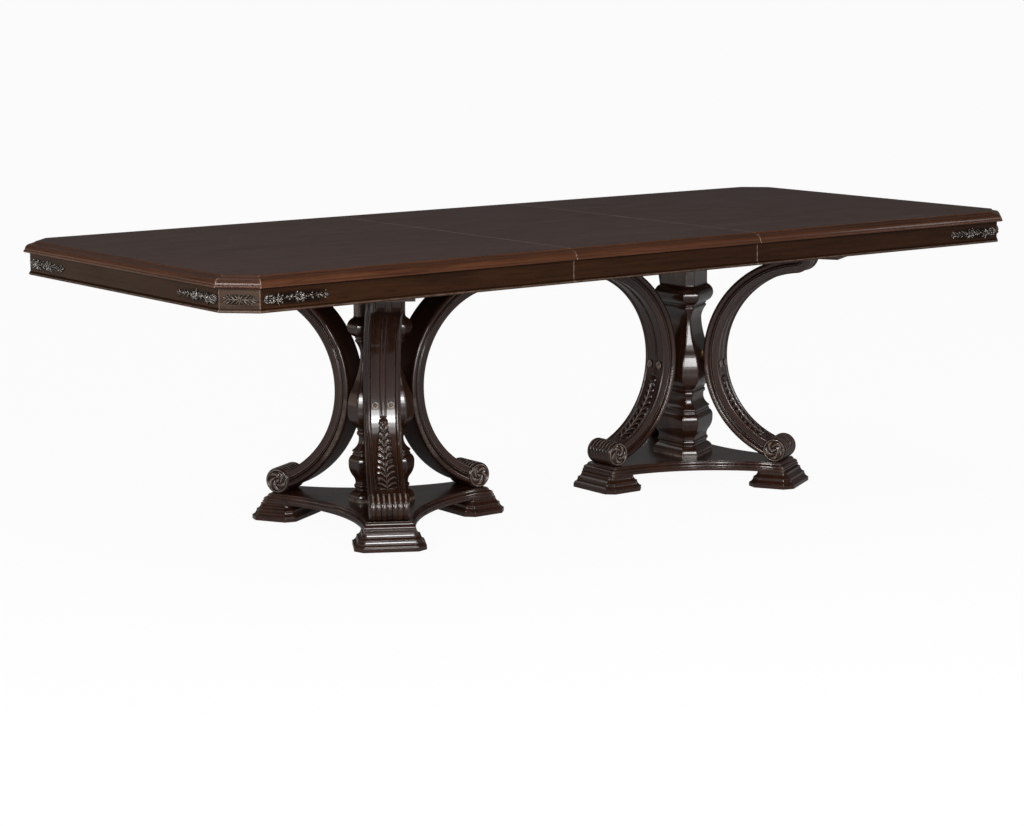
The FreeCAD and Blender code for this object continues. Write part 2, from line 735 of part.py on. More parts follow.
def arm():
    """C-shaped arm: an arc of one section, a rounded nose at the top and a scroll at the foot."""
    section = Part.Face(arm_section())
    across = V(0, 1, 0)
    hub = V(ARM_CENTRE_X, 0, ARM_CENTRE_Z)
    crown = V(NOSE_X, 0, NOSE_Z)
    sweep = NOSE_ANGLE + SCROLL_ANGLE
    arc = turned(section, -SCROLL_ANGLE, hub, across).revolve(hub, across, sweep)
    nose = turned(section, NOSE_ANGLE, hub, across).revolve(crown, across, -90.0)
    scroll_end = V(SCROLL_X, -SCROLL_WIDTH / 2, SCROLL_Z)
    scroll = Part.makeCylinder(SCROLL_RADIUS, SCROLL_WIDTH, scroll_end, across)
    boss_width = SCROLL_WIDTH + 2 * SCROLL_BOSS_HEIGHT
    boss_end = V(SCROLL_X, -boss_width / 2, SCROLL_Z)
    boss = Part.makeCylinder(SCROLL_BOSS_RADIUS, boss_width, boss_end, across)
    body = fuse([arc, nose, scroll, boss])
    far = 2 * BOARD_REACH
    below = box(-far, far, -far, far, -far, PLATFORM_TOP)
    above = box(-far, far, -far, far, BOARD_BOTTOM, BOARD_BOTTOM + far)
    return cut(body, [below, above, dowel(FIT)] + arm_screw_holes())


def arm_buttons():
    """Two carved buttons on the sunk panels, a little below the middle of the arc."""
    rib = ARM_RIB_WIDTH / 2
    y = (rib + ARM_FRONT_WIDTH / 2 - ARM_BEAD_WIDTH) / 2
    radius = BUTTON_DIAMETER / 2
    floor = math.sqrt((ARM_FRONT_RADIUS + ARM_PANEL_DEPTH) ** 2 - radius ** 2)
    hub = V(ARM_CENTRE_X, 0, ARM_CENTRE_Z)
    buttons = []
    for side in (-1, 1):
        start = V(ARM_CENTRE_X - floor, side * y, ARM_CENTRE_Z)
        button = Part.makeCylinder(radius, BUTTON_HEIGHT, start, V(1, 0, 0))
        buttons.append(turned(button, -BUTTON_ANGLE, hub, V(0, 1, 0)))
    return buttons


def board():
    """Three-armed mounting board on top of the column and arms."""
    bar = box(-BOARD_WIDTH / 2, BOARD_REACH, -BOARD_WIDTH / 2, BOARD_WIDTH / 2, BOARD_BOTTOM, BOARD_TOP)
    return fuse([turned(bar, angle) for angle in ARM_ANGLES.values()])


def nut_levels():
    return [(FOOT_TOP, 1.0), (BOARD_TOP, -1.0)]


def tie_rod():
    reach = NUT_RECESS - NUT_HEIGHT
    return rod(V(0, 0, FOOT_TOP + reach), V(0, 0, BOARD_TOP - reach), ROD_DIAMETER / 2)


def tie_rod_nuts():
    """Hexagon nuts sunk in the platform and in the mounting board."""
    radius = NUT_ACROSS_FLATS / math.sqrt(3)
    corners = [
        (radius * math.cos(math.radians(60 * k)), radius * math.sin(math.radians(60 * k)))
        for k in range(6)
    ]
    nuts = []
    for level, way in nut_levels():
        seat = level + way * NUT_RECESS
        face = seat - way * NUT_HEIGHT
        nut = prism(corners, min(seat, face), max(seat, face))
        hole = rod(V(0, 0, min(seat, face) - 1), V(0, 0, max(seat, face) + 1), ROD_DIAMETER / 2 + FIT)
        nuts.append(cut(nut, [hole]))
    return nuts


def tie_rod_holes():
    """Bore for the tie rod and the recesses for its nuts."""
    holes = [rod(V(0, 0, FOOT_TOP - 1), V(0, 0, BOARD_TOP + 1), ROD_DIAMETER / 2 + FIT)]
    radius = NUT_ACROSS_FLATS / math.sqrt(3) + 1.0
    for level, way in nut_levels():
        holes.append(rod(V(0, 0, level - way), V(0, 0, level + way * NUT_RECESS), radius))
    return holes


FOOT_SCREW_LENGTH = SCREW_HEAD_HEIGHT + FOOT_HEIGHT / 2 + PLATFORM_THICKNESS * 0.75
FOOT_SCREW_Z = FOOT_TOP + PLATFORM_THICKNESS * 0.75 - FOOT_SCREW_LENGTH
FOOT_SCREW_PLACES = [(FOOT_X, -FOOT_SCREW_SPREAD), (FOOT_X, FOOT_SCREW_SPREAD)]


def foot_screws():
    return [screw(x, y, FOOT_SCREW_Z, FOOT_SCREW_LENGTH, True) for x, y in FOOT_SCREW_PLACES]


def foot_screw_holes():
    return [
        screw_hole(x, y, FOOT_SCREW_Z, FOOT_SCREW_LENGTH, True, GLIDE_HEIGHT)
        for x, y in FOOT_SCREW_PLACES
    ]


RAIL_SCREW_Z = BOARD_BOTTOM + SCREW_RECESS - SCREW_HEAD_HEIGHT
RAIL_SCREW_LENGTH = BOARD_THICKNESS - SCREW_RECESS + SCREW_HEAD_HEIGHT + SCREW_BITE


def rail_screw_places():
    """On the left board: one under each slide rail and two under the centre beam."""
    away = RAIL_OFFSET / math.tan(math.radians(60.0))
    places = [(-PEDESTAL_X - away, -RAIL_OFFSET), (-PEDESTAL_X - away, RAIL_OFFSET)]
    for share in (0.35, 0.6):
        places.append((-PEDESTAL_X + share * ARM_CENTRE_X, 0.0))
    return places


def rail_screws():
    return [screw(x, y, RAIL_SCREW_Z, RAIL_SCREW_LENGTH, True) for x, y in rail_screw_places()]


def rail_screw_holes():
    return [
        screw_hole(x, y, RAIL_SCREW_Z, RAIL_SCREW_LENGTH, True, BOARD_BOTTOM)
        for x, y in rail_screw_places()
    ]


# Assembly: each piece is drawn for the left end, and half a turn gives the right end

nodes = {}


def add(name, shapes):
    solids = shapes if isinstance(shapes, list) else [shapes]
    nodes.setdefault(name, []).extend(solids)


def both_ends(shapes):
    return shapes + [turned(shape, 180.0) for shape in shapes]


def opposite(place):
    """Name of the place that half a turn gives."""
    swap = {"front": "back", "back": "front"}
    return swap.get(place, place)


def around(shapes):
    """Copies of a pedestal piece at its three arms, set on the left pedestal."""
    copies = []
    for angle in ARM_ANGLES.values():
        copies += [moved(turned(shape, angle), -PEDESTAL_X) for shape in shapes]
    return copies


def build_pedestals():
    arm_holes = [turned(hole, angle) for angle in ARM_ANGLES.values() for hole in arm_screw_holes()]
    foot_holes = [turned(hole, angle) for angle in ARM_ANGLES.values() for hole in foot_screw_holes()]
    foot_body = cut(foot(), foot_screw_holes())
    platform_body = moved(cut(platform(), arm_holes + foot_holes + tie_rod_holes()), -PEDESTAL_X)
    board_body = moved(cut(board(), arm_holes + tie_rod_holes()), -PEDESTAL_X)
    board_body = cut(board_body, rail_screw_holes())
    arm_body = arm()
    singles = {
        "platform": platform_body,
        "column": moved(column(), -PEDESTAL_X),
        "mounting_board": board_body,
    }
    for name, shape in singles.items():
        add("left_" + name, shape)
        add("right_" + name, turned(shape, 180.0))
    for place, angle in ARM_ANGLES.items():
        for name, shape in (("foot", foot_body), ("arm", arm_body)):
            left = moved(turned(shape, angle), -PEDESTAL_X)
            add("left_%s_%s" % (place, name), left)
            add("right_%s_%s" % (opposite(place), name), turned(left, 180.0))
    glide = rod(V(FOOT_X, 0, 0), V(FOOT_X, 0, GLIDE_HEIGHT), GLIDE_DIAMETER / 2)
    add("floor_glides", both_ends(around([glide])))
    add("foot_screws", both_ends(around(foot_screws())))
    add("arm_screws", both_ends(around(arm_screws())))
    add("arm_dowels", both_ends(around([dowel(0.0)])))
    add("arm_buttons", both_ends(around(arm_buttons())))
    add("column_tie_rods", both_ends([moved(tie_rod(), -PEDESTAL_X)]))
    add("tie_rod_nuts", both_ends([moved(nut, -PEDESTAL_X) for nut in tie_rod_nuts()]))


def build_rails():
    holes = both_ends(rail_screw_holes())
    half = BEAM_LENGTH / 2
    beam = box(-half, half, -BEAM_WIDTH / 2, BEAM_WIDTH / 2, BOARD_TOP, UNDERSIDE - SLIDE_CLEARANCE)
    add("front_slide_rail", cut(slide_rail(-RAIL_OFFSET), holes))
    add("back_slide_rail", cut(slide_rail(RAIL_OFFSET), holes))
    add("centre_beam", cut(beam, holes))
    add("rail_screws", both_ends(rail_screws()))


def build_halves():
    outline = half_outline()
    runner_spots = {"front": (-RAIL_OFFSET, -1), "back": (RAIL_OFFSET, -1)}
    screw_places = []
    for rail_y, side in runner_spots.values():
        screw_places += runner_screw_places(rail_y, side)
    screw_holes = [
        screw_hole(x, y, RUNNER_SCREW_Z, RUNNER_SCREW_LENGTH, True, RUNNER_BOTTOM)
        for x, y in screw_places
    ]
    screws = [screw(x, y, RUNNER_SCREW_Z, RUNNER_SCREW_LENGTH, True) for x, y in screw_places]
    straight = ["front", "back", "end"]
    corners = ["front_corner", "back_corner"]
    pieces = {
        "top_panel": [cut(panel(outline, HALF_SIDES), pin_holes() + screw_holes)],
        "edge_mouldings": [moulding(outline, HALF_SIDES, side) for side in straight + corners],
        "corner_blocks": [apron(outline, HALF_SIDES, side, CORNER_BLOCK_DEPTH) for side in corners],
        "glue_blocks": glue_blocks(outline, HALF_SIDES, straight),
        "leaf_pins": pins(),
        "runner_screws": screws,
        "carvings": [
            vine(outline, "front", True),
            vine(outline, "back", False),
            vine(outline, "end", True),
            vine(outline, "end", False),
        ] + [leaf_carving(outline, side) for side in corners],
    }
    for place in straight:
        pieces[place + "_apron"] = [apron(outline, HALF_SIDES, place, APRON_THICKNESS)]
    for place, (rail_y, side) in runner_spots.items():
        pieces[place + "_runner"] = [cut(runner(rail_y, side), screw_holes)]
    for name, shapes in pieces.items():
        right = "_".join(opposite(word) for word in name.split("_"))
        add("left_" + name, shapes)
        add("right_" + right, [turned(shape, 180.0) for shape in shapes])


def build_leaf():
    outline = leaf_outline()
    long_sides = ["front", "back"]
    add("leaf_panel", cut(panel(outline, LEAF_SIDES), both_ends(pin_notches())))
    add("leaf_edge_mouldings", [moulding(outline, LEAF_SIDES, side) for side in long_sides])
    for side in long_sides:
        add("leaf_%s_apron" % side, apron(outline, LEAF_SIDES, side, APRON_THICKNESS))
    add("leaf_glue_blocks", glue_blocks(outline, LEAF_SIDES, long_sides))


build_pedestals()
build_rails()
build_halves()
build_leaf()

os.makedirs("parts", exist_ok=True)
for node, solids in nodes.items():
    pieces = [solid for shape in solids for solid in shape.Solids]
    shape = pieces[0] if len(pieces) == 1 else Part.makeCompound(pieces)
    assert shape.isValid(), node
    shape.exportStep("parts/%s.step" % node)
    print("%-24s %3d solids %12.0f mm3" % (node, len(pieces), shape.Volume))
print(len(nodes), "nodes")
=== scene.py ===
# %% [markdown]
# # An extending dining table on two carved pedestals
# The table's construction comes packed as a frame of solids: the half tops, the leaf, the
# pedestals and the slides that join them. This lesson dresses that frame. Plain pieces keep
# their solids and get a finish; moulded and carved pieces are worked out again as dense
# surfaces, because a bead, a reed or a leaf needs more faces than a solid does.

# %% Load the frame
import math

import bmesh
import bpy
import numpy as np
from mathutils import Matrix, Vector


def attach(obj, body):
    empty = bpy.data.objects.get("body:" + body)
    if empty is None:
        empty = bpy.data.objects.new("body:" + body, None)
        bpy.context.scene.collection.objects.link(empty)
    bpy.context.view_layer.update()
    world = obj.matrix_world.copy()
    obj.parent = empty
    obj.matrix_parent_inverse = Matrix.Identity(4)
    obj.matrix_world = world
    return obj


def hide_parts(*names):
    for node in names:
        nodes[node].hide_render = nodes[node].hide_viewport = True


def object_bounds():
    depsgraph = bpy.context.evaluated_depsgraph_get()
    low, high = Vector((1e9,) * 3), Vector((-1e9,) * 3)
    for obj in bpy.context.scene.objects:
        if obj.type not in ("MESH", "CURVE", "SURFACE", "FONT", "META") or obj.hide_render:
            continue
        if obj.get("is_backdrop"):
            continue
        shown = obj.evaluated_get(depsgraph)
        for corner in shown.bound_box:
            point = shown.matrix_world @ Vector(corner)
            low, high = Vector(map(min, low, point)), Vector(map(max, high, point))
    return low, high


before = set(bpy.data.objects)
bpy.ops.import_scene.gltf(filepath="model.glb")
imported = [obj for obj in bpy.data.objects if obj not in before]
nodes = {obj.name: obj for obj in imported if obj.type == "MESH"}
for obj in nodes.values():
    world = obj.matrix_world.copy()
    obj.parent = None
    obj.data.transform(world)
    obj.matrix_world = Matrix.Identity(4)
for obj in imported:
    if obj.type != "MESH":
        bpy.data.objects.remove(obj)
cad_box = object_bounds()
MM = 0.001

# %% [markdown]
# ## From arrays to meshes
# A surface here is a grid of points: one direction runs along a path, the other around a
# profile. The points of a grid are computed all at once with numpy, and the quads that join
# them follow from the row and column numbers alone. Every shell is closed, with a fan of
# triangles over each open end, so Blender can tell the outside from the inside.

# %% Grid shells
def grid_shell(points):
    """Closed shell from points[row, column]: columns wrap round, fans close the first and last row.

    Quad (r, c) joins (r, c), (r+1, c), (r+1, c+1) and (r, c+1); a fan joins a row to its mean.
    """
    rows, columns = points.shape[:2]
    first, c = np.meshgrid(np.arange(rows - 1) * columns, np.arange(columns), indexing="ij")
    beside = (c + 1) % columns
    quads = np.stack([first + c, first + columns + c, first + columns + beside, first + beside], -1)
    ring, fans = np.arange(columns), []
    for hub, row in ((rows * columns, 0), (rows * columns + 1, rows - 1)):
        start = row * columns
        fans.append(np.stack([start + ring, start + (ring + 1) % columns, np.full(columns, hub)], -1))
    flat = np.vstack([points.reshape(-1, 3), points[0].mean(0), points[-1].mean(0)])
    return flat, quads.reshape(-1, 4), np.concatenate(fans)


def all_points(shells):
    """The points of several shells in one list."""
    return np.concatenate([points for points, quads, triangles in shells])


def join_shells(shells):
    """One list of points and faces from several shells, with the numbers of later ones moved up."""
    faces, first = [], 0
    for points, quads, triangles in shells:
        faces += (quads + first).tolist() + (triangles + first).tolist()
        first += len(points)
    return all_points(shells), faces


sample = grid_shell(np.ones((4, 6, 3)))
print("a grid of 4 rows of 6 points closes with", len(join_shells([sample])[1]), "faces")

# %% [markdown]
# ## Rubbed edges and glazed hollows, with painted highlights and shade
# On old-style furniture the stain is rubbed away on proud edges, and a dark glaze stays in
# the hollows. The same two masks also paint highlights on ridges and shade in hollows.
# Both follow the bend of the surface, so they can be measured on the mesh: the mean, over a
# point's edges, of how far the neighbours fall below its tangent plane. It is above zero on a
# ridge and below zero in a groove. The two masks are kept as point attributes.

# %% Bend of a mesh as two masks
RIDGE, GROOVE = 0.3, 0.22  # the mean slopes that make a mask full
OWN_SHARE = 0.8  # what a point keeps of its own mask where its neighbours have less


def edge_ends(mesh):
    """The numbers of every edge's two points, and how many edges meet at each point."""
    pairs = np.empty(len(mesh.edges) * 2, int)
    mesh.edges.foreach_get("vertices", pairs)
    a, b = pairs.reshape(-1, 2).T
    return a, b, np.maximum(np.bincount(pairs, minlength=len(mesh.vertices)), 1)


def edge_means(ends, at_a, at_b):
    """Mean over each point's edges of a value that every edge gives to its two ends."""
    a, b, count = ends
    return (np.bincount(a, at_a, len(count)) + np.bincount(b, at_b, len(count))) / count


def mark_bends(mesh):
    """Point masks of wear with painted highlight and of glaze with painted shade, from the mean slope to
    the neighbours.

    slope = -normal . (neighbour - point) / distance, averaged; a right-angled edge gives about 0.35.
    """
    count = len(mesh.vertices)
    co, normals = np.empty(count * 3), np.empty(count * 3, np.float32)
    mesh.vertices.foreach_get("co", co)
    mesh.vertex_normals.foreach_get("vector", normals)
    co, normals = co.reshape(-1, 3), normals.reshape(-1, 3)
    ends = edge_ends(mesh)
    a, b = ends[:2]
    step = co[b] - co[a]
    step /= np.maximum(np.linalg.norm(step, axis=1), 1e-7)[:, None]
    slope = edge_means(ends, -(normals[a] * step).sum(1), (normals[b] * step).sum(1))
    # Ridges feed the mask of wear and painted highlight; grooves feed the mask of glaze and painted shade.
    bends = (("rub_and_painted_highlight", slope / RIDGE, "wear_and_highlight"), ("glaze_and_painted_shade", -slope / GROOVE, "shade"))
    for name, raw, given in bends:
        mask = np.clip(raw, 0, 1)
        mask = np.maximum(mask * OWN_SHARE, edge_means(ends, mask[b], mask[a]))
        set_by_hand = np.empty(count, np.float32)
        mesh.attributes[given].data.foreach_get("value", set_by_hand)
        mask = np.maximum(mask, set_by_hand).astype(np.float32)
        mesh.attributes.new(name, "FLOAT", "POINT").data.foreach_set("value", mask)


print("masks are full at mean slopes of", RIDGE, "on ridges and", -GROOVE, "in grooves")

# %% [markdown]
# ## Making a piece
# Every dressed piece goes through the same hands: its shells become one mesh, points that meet
# are merged, faces are turned outwards, edges sharper than 35 degrees stay crisp, and the two
# masks are measured. Then it is told which body it moves with, and which solid it stands for.

# %% Make a piece
MERGE = 2e-6
SHARP = math.radians(35)


def stand(name, data):
    """A new object of the scene for a mesh, a lamp or a camera."""
    made = bpy.data.objects.new(name, data)
    bpy.context.scene.collection.objects.link(made)
    return made


def carve(name, shells, body, slot, materials, replaces, grain=None, pick=None, wear_and_highlight=None, shade=None):
    """A finished piece from shells in millimetres: mesh, masks, grain attribute and body; slot is not used.

    pick gives each face's material number from the faces' centres; grain gives each point's
    place along and across the wood's fibres; the last two mark points for wear with painted
    highlight, and for glazing with painted shade.
    """
    points, faces = join_shells(shells)
    mesh = bpy.data.meshes.new(name)
    mesh.from_pydata((points * MM).tolist(), [], faces)
    fibres = points if grain is None else grain
    layer = mesh.attributes.new("fibres", "FLOAT_VECTOR", "POINT")
    layer.data.foreach_set("vector", (fibres * MM).astype(np.float32).ravel())
    for label, marks in (("wear_and_highlight", wear_and_highlight), ("shade", shade)):
        marks = np.zeros(len(points)) if marks is None else marks
        mesh.attributes.new(label, "FLOAT", "POINT").data.foreach_set("value", marks.astype(np.float32))
    tool = bmesh.new()
    tool.from_mesh(mesh)
    bmesh.ops.remove_doubles(tool, verts=tool.verts, dist=MERGE)
    bmesh.ops.recalc_face_normals(tool, faces=tool.faces)
    tool.to_mesh(mesh)
    tool.free()
    mesh.polygons.foreach_set("use_smooth", np.ones(len(mesh.polygons), bool))
    mesh.set_sharp_from_angle(angle=SHARP)
    mark_bends(mesh)
    for material in materials:
        mesh.materials.append(material)
    if pick is not None:
        centres = np.empty(len(mesh.polygons) * 3, np.float32)
        mesh.polygons.foreach_get("center", centres)
        numbers = pick(centres.reshape(-1, 3) / MM)
        mesh.polygons.foreach_set("material_index", numbers.astype(np.int32))
    piece = stand(name, mesh)
    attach(piece, body)
    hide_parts(*replaces)
    print("%-26s %7d faces" % (name, len(mesh.polygons)))


# %% [markdown]
# ## Profiles
# A moulding is drawn once as a flat outline of lines and arcs. Real edges are never knife
# sharp, so each corner of the outline is cut back and gets a middle point, plus a point a
# little way off on both sides, which keeps the rubbing and painted highlight on the edge narrow.

# %% Lines, arcs and softened corners
CORNER, REST = 18.0, 1.6  # degrees that make a corner; how far off the points beside it lie


def arc(start, through, end, count):
    """Points of the circle through three points, from start to end, without the start itself."""
    (ax, ay), (bx, by), (cx, cy) = start, through, end
    d = 2 * (ax * (by - cy) + bx * (cy - ay) + cx * (ay - by))
    a2, b2, c2 = ax * ax + ay * ay, bx * bx + by * by, cx * cx + cy * cy
    mx = (a2 * (by - cy) + b2 * (cy - ay) + c2 * (ay - by)) / d
    my = (a2 * (cx - bx) + b2 * (ax - cx) + c2 * (bx - ax)) / d
    t0, t1, t2 = (math.atan2(y - my, x - mx) for x, y in (start, through, end))
    sweep, half = (t2 - t0) % math.tau, (t1 - t0) % math.tau
    sweep = sweep if half < sweep else sweep - math.tau
    t = t0 + sweep * np.arange(1, count + 1) / count
    radius = math.hypot(ax - mx, ay - my)
    return np.stack([mx + radius * np.cos(t), my + radius * np.sin(t)], -1)


def outline(start, steps, count=9):
    """Polyline through steps: an end point, or a point on the way and an end point for an arc."""
    runs = [np.array([start], float)]
    for step in steps:
        here = tuple(runs[-1][-1])
        runs.append(arc(here, *step, count) if len(step) == 2 else np.array(step, float))
    return np.concatenate(runs)


def soften(points, cut=0.7, closed=True):
    """Outline with each corner of more than CORNER degrees cut back, and rest points beside it."""
    before, after = points - np.roll(points, 1, 0), np.roll(points, -1, 0) - points
    run_in, run_out = np.linalg.norm(before, axis=1), np.linalg.norm(after, axis=1)
    ways_in = before / np.maximum(run_in, 1e-9)[:, None]
    ways_out = after / np.maximum(run_out, 1e-9)[:, None]
    bends = np.degrees(np.arccos(np.clip((ways_in * ways_out).sum(1), -1, 1)))
    if not closed:
        bends[[0, -1]] = 0
    runs = []
    for p, u, w, bend, room in zip(points, ways_in, ways_out, bends, np.minimum(run_in, run_out)):
        if bend < CORNER:
            runs.append(p[None])
        else:
            c, far = min(cut, 0.3 * room), min(REST, 0.45 * room)
            runs.append(np.array([p - u * far, p - u * c, p + (w - u) * c * 0.3, p + w * c, p + w * far]))
    return np.concatenate(runs)


square = np.array([[0, 0], [9, 0], [9, 9], [0, 9]], float)
print("a softened square has", len(soften(square)), "points")

# %% [markdown]
# ## Finishes
# All the show wood is stained, glazed and lacquered, so three effects repeat on every finish:
# the stained grain, the rubbing and glazing on bends, which also paint highlights on ridges and
# shade in hollows, and the fine unevenness of the lacquer.
# Each is a node group, made once. The groups hand out only colours, values and normals;
# the shader itself, with its fixed numbers on its own sockets, stays in each material.

# %% Small helpers for nodes
def tone(red, green, blue):
    """A colour read off as 0 to 255, as the linear light Blender works in."""
    c = np.array([red, green, blue]) / 255
    return (*np.where(c < 0.04045, c / 12.92, ((c + 0.055) / 1.055) ** 2.4), 1.0)


def feed(tree, node, **sockets):
    """Give a node's sockets a value or a link; a key is the socket's name, or i and its number."""
    for key, value in sockets.items():
        numbered = key[0] == "i" and key[1:].isdigit()
        socket = node.inputs[int(key[1:]) if numbered else key.replace("_", " ")]
        if isinstance(value, bpy.types.NodeSocket):
            tree.links.new(value, socket)
        else:
            socket.default_value = value


def add(tree, kind, settings=None, **sockets):
    """A new node with its settings, and with its sockets fed."""
    made = tree.nodes.new("ShaderNode" + kind)
    for key, value in (settings or {}).items():
        setattr(made, key, value)
    feed(tree, made, **sockets)
    return made


def math_node(tree, operation, a, b=0.0, c=0.0, clamp=False):
    """One sum of up to three values."""
    settings = {"operation": operation, "use_clamp": clamp}
    return add(tree, "Math", settings, i0=a, i1=b, i2=c).outputs[0]


def stretch(tree, place, x, y, z):
    """Coordinates multiplied axis by axis, which draws a pattern out along the small one."""
    return add(tree, "VectorMath", {"operation": "MULTIPLY"}, i0=place, i1=(x, y, z)).outputs[0]


def noise(tree, place, detail, roughness, distortion=0.0, scale=1.0):
    """Noise, of scale 1 if not told otherwise, on coordinates that are already stretched."""
    return add(tree, "TexNoise", Vector=place, Scale=scale, Detail=detail, Roughness=roughness,
               Distortion=distortion).outputs[0]


def ramp(tree, value, low, high, start=0.0, end=1.0):
    """Value between low and high spread smoothly over start to end."""
    return add(tree, "MapRange", {"interpolation_type": "SMOOTHSTEP"},
               i0=value, i1=low, i2=high, i3=start, i4=end).outputs[0]


def blend(tree, share, first, second):
    """Two colours mixed by a share."""
    return add(tree, "Mix", {"data_type": "RGBA"}, i0=share, i6=first, i7=second).outputs[2]


def new_group(name, takes, gives):
    """An empty shader node group with named sockets, and the two nodes that hold them."""
    group = bpy.data.node_groups.new(name, "ShaderNodeTree")
    for way, sockets in (("INPUT", takes), ("OUTPUT", gives)):
        for label, kind in sockets.items():
            group.interface.new_socket(label, in_out=way, socket_type="NodeSocket" + kind)
    return group, group.nodes.new("NodeGroupInput").outputs, group.nodes.new("NodeGroupOutput").inputs


def new_material(name):
    """A material with nodes, its node tree and its shader."""
    material = bpy.data.materials.new(name)
    material.use_nodes = True
    return material, material.node_tree, material.node_tree.nodes["Principled BSDF"]


print("mid grey 128 is %.3f in linear light" % tone(128, 128, 128)[0])

# %% [markdown]
# **Stained grain.** Wood fibres run long one way, so noise is drawn out along the first
# coordinate: a broad figure, narrow streaks, and short dark pores. The stain pools in the
# pores, which are also cut a little into the surface.

# %% Stained grain group
stained_grain, takes, gives = new_group(
    "stained grain",
    {"Place": "Vector", "Deep": "Color", "Light": "Color", "Figure": "Float", "Streak": "Float",
     "Pores": "Float"},
    {"Colour": "Color", "Relief": "Float"},
)
tree, place = stained_grain, takes["Place"]
figure = noise(tree, stretch(tree, place, 1.1, 11, 11), 3, 0.55, 1.0)
streak = noise(tree, stretch(tree, place, 5, 130, 130), 4, 0.6, 0.5)
fine = noise(tree, stretch(tree, place, 16, 620, 620), 2, 0.5)
pores = ramp(tree, fine, 0.44, 0.30)
off_figure = math_node(tree, "SUBTRACT", figure, 0.5)
off_streak = math_node(tree, "SUBTRACT", streak, 0.5)
share = math_node(tree, "MULTIPLY_ADD", off_figure, takes["Figure"], 0.5)
share = math_node(tree, "MULTIPLY_ADD", off_streak, takes["Streak"], share, clamp=True)
stain = blend(tree, share, takes["Deep"], takes["Light"])
pooled = math_node(tree, "MULTIPLY", pores, takes["Pores"])
tree.links.new(blend(tree, pooled, stain, (0.0, 0.0, 0.0, 1.0)), gives["Colour"])
swell = math_node(tree, "MULTIPLY", streak, 0.5)
tree.links.new(math_node(tree, "SUBTRACT", swell, pores), gives["Relief"])
print("stained grain:", len(tree.nodes), "nodes")

# %% [markdown]
# ** Rubbed and glazed, with painted light.** The two bend masks are broken up with noise, since a
# hand with a rag never rubs evenly, and the stain is mixed towards the pale wood on ridges and
# towards the dark glaze in hollows. The pale on ridges is partly painted highlight, and the dark
# in hollows partly painted shade.

# %% Rub and glaze group
rub_glaze_and_painted_light, takes, gives = new_group(
    "rubbing, glazing and painted light",
    {"Place": "Vector", "Colour": "Color", "Rub": "Float", "Glaze": "Float", "Pale": "Color",
     "Dark": "Color", "Amount": "Float", "Patches": "Float", "Evenness": "Float"},
    {"Colour": "Color", "Rubbed": "Float"},
)
tree, place = rub_glaze_and_painted_light, takes["Place"]
spots = noise(tree, stretch(tree, place, 60, 95, 95), 4, 0.6, scale=takes["Patches"])
patchy = ramp(tree, spots, 0.38, 0.6, start=takes["Evenness"])
glazed_and_shaded = ramp(tree, takes["Glaze"], 0.12, 0.85, end=0.85)
rubbed_and_lit = math_node(tree, "MULTIPLY", ramp(tree, takes["Rub"], 0.22, 0.95), patchy)
rubbed_and_lit = math_node(tree, "MULTIPLY", rubbed_and_lit, math_node(tree, "SUBTRACT", 1.0, glazed_and_shaded))
rubbed_and_lit = math_node(tree, "MULTIPLY", rubbed_and_lit, takes["Amount"], clamp=True)
dulled = blend(tree, glazed_and_shaded, takes["Colour"], takes["Dark"])
tree.links.new(blend(tree, rubbed_and_lit, dulled, takes["Pale"]), gives["Colour"])
tree.links.new(rubbed_and_lit, gives["Rubbed"])
print("rubbing, glazing and painted light:", len(tree.nodes), "nodes")

# %% [markdown]
# **Lacquer.** A sprayed lacquer film is nearly flat: it follows the pores a little, has a
# faint orange-peel ripple, and is duller in patches where it was handled.

# %% Lacquer group
lacquer, takes, gives = new_group(
    "lacquer film",
    {"Place": "Vector", "Relief": "Float", "Gloss": "Float", "Rubbed": "Float"},
    {"Roughness": "Float", "Normal": "Vector"},
)
tree, place = lacquer, takes["Place"]
peel = noise(tree, stretch(tree, place, 330, 330, 330), 2, 0.5)
clouds = noise(tree, stretch(tree, place, 7, 13, 13), 3, 0.6)
height = math_node(tree, "MULTIPLY_ADD", peel, 0.35, math_node(tree, "MULTIPLY", takes["Relief"], 0.5))
film = add(tree, "Bump", Strength=0.12, Distance=0.0006, Height=height)
tree.links.new(film.outputs[0], gives["Normal"])
dull = math_node(tree, "MULTIPLY_ADD", math_node(tree, "SUBTRACT", clouds, 0.5), 0.16, takes["Gloss"])
dull = math_node(tree, "MULTIPLY_ADD", takes["Rubbed"], 0.12, dull, clamp=True)
tree.links.new(dull, gives["Roughness"])
print("lacquer film:", len(tree.nodes), "nodes")

# %% [markdown]
# ** The wood finishes.** A finish strings the three groups together. Carved and moulded pieces
# carry their own fibre direction and bend masks as attributes; solids that keep their own
# mesh have neither, so their finish reads Object coordinates, along the table's length. The
# evenness says how far the rubbing reaches between its patches; below zero it leaves only
# the hearts of the patches, which gives the small carvings sparse glints of painted highlight.

# %% Wood finishes
COAT_ROUGHNESS, COAT_IOR = 0.1, 2.0


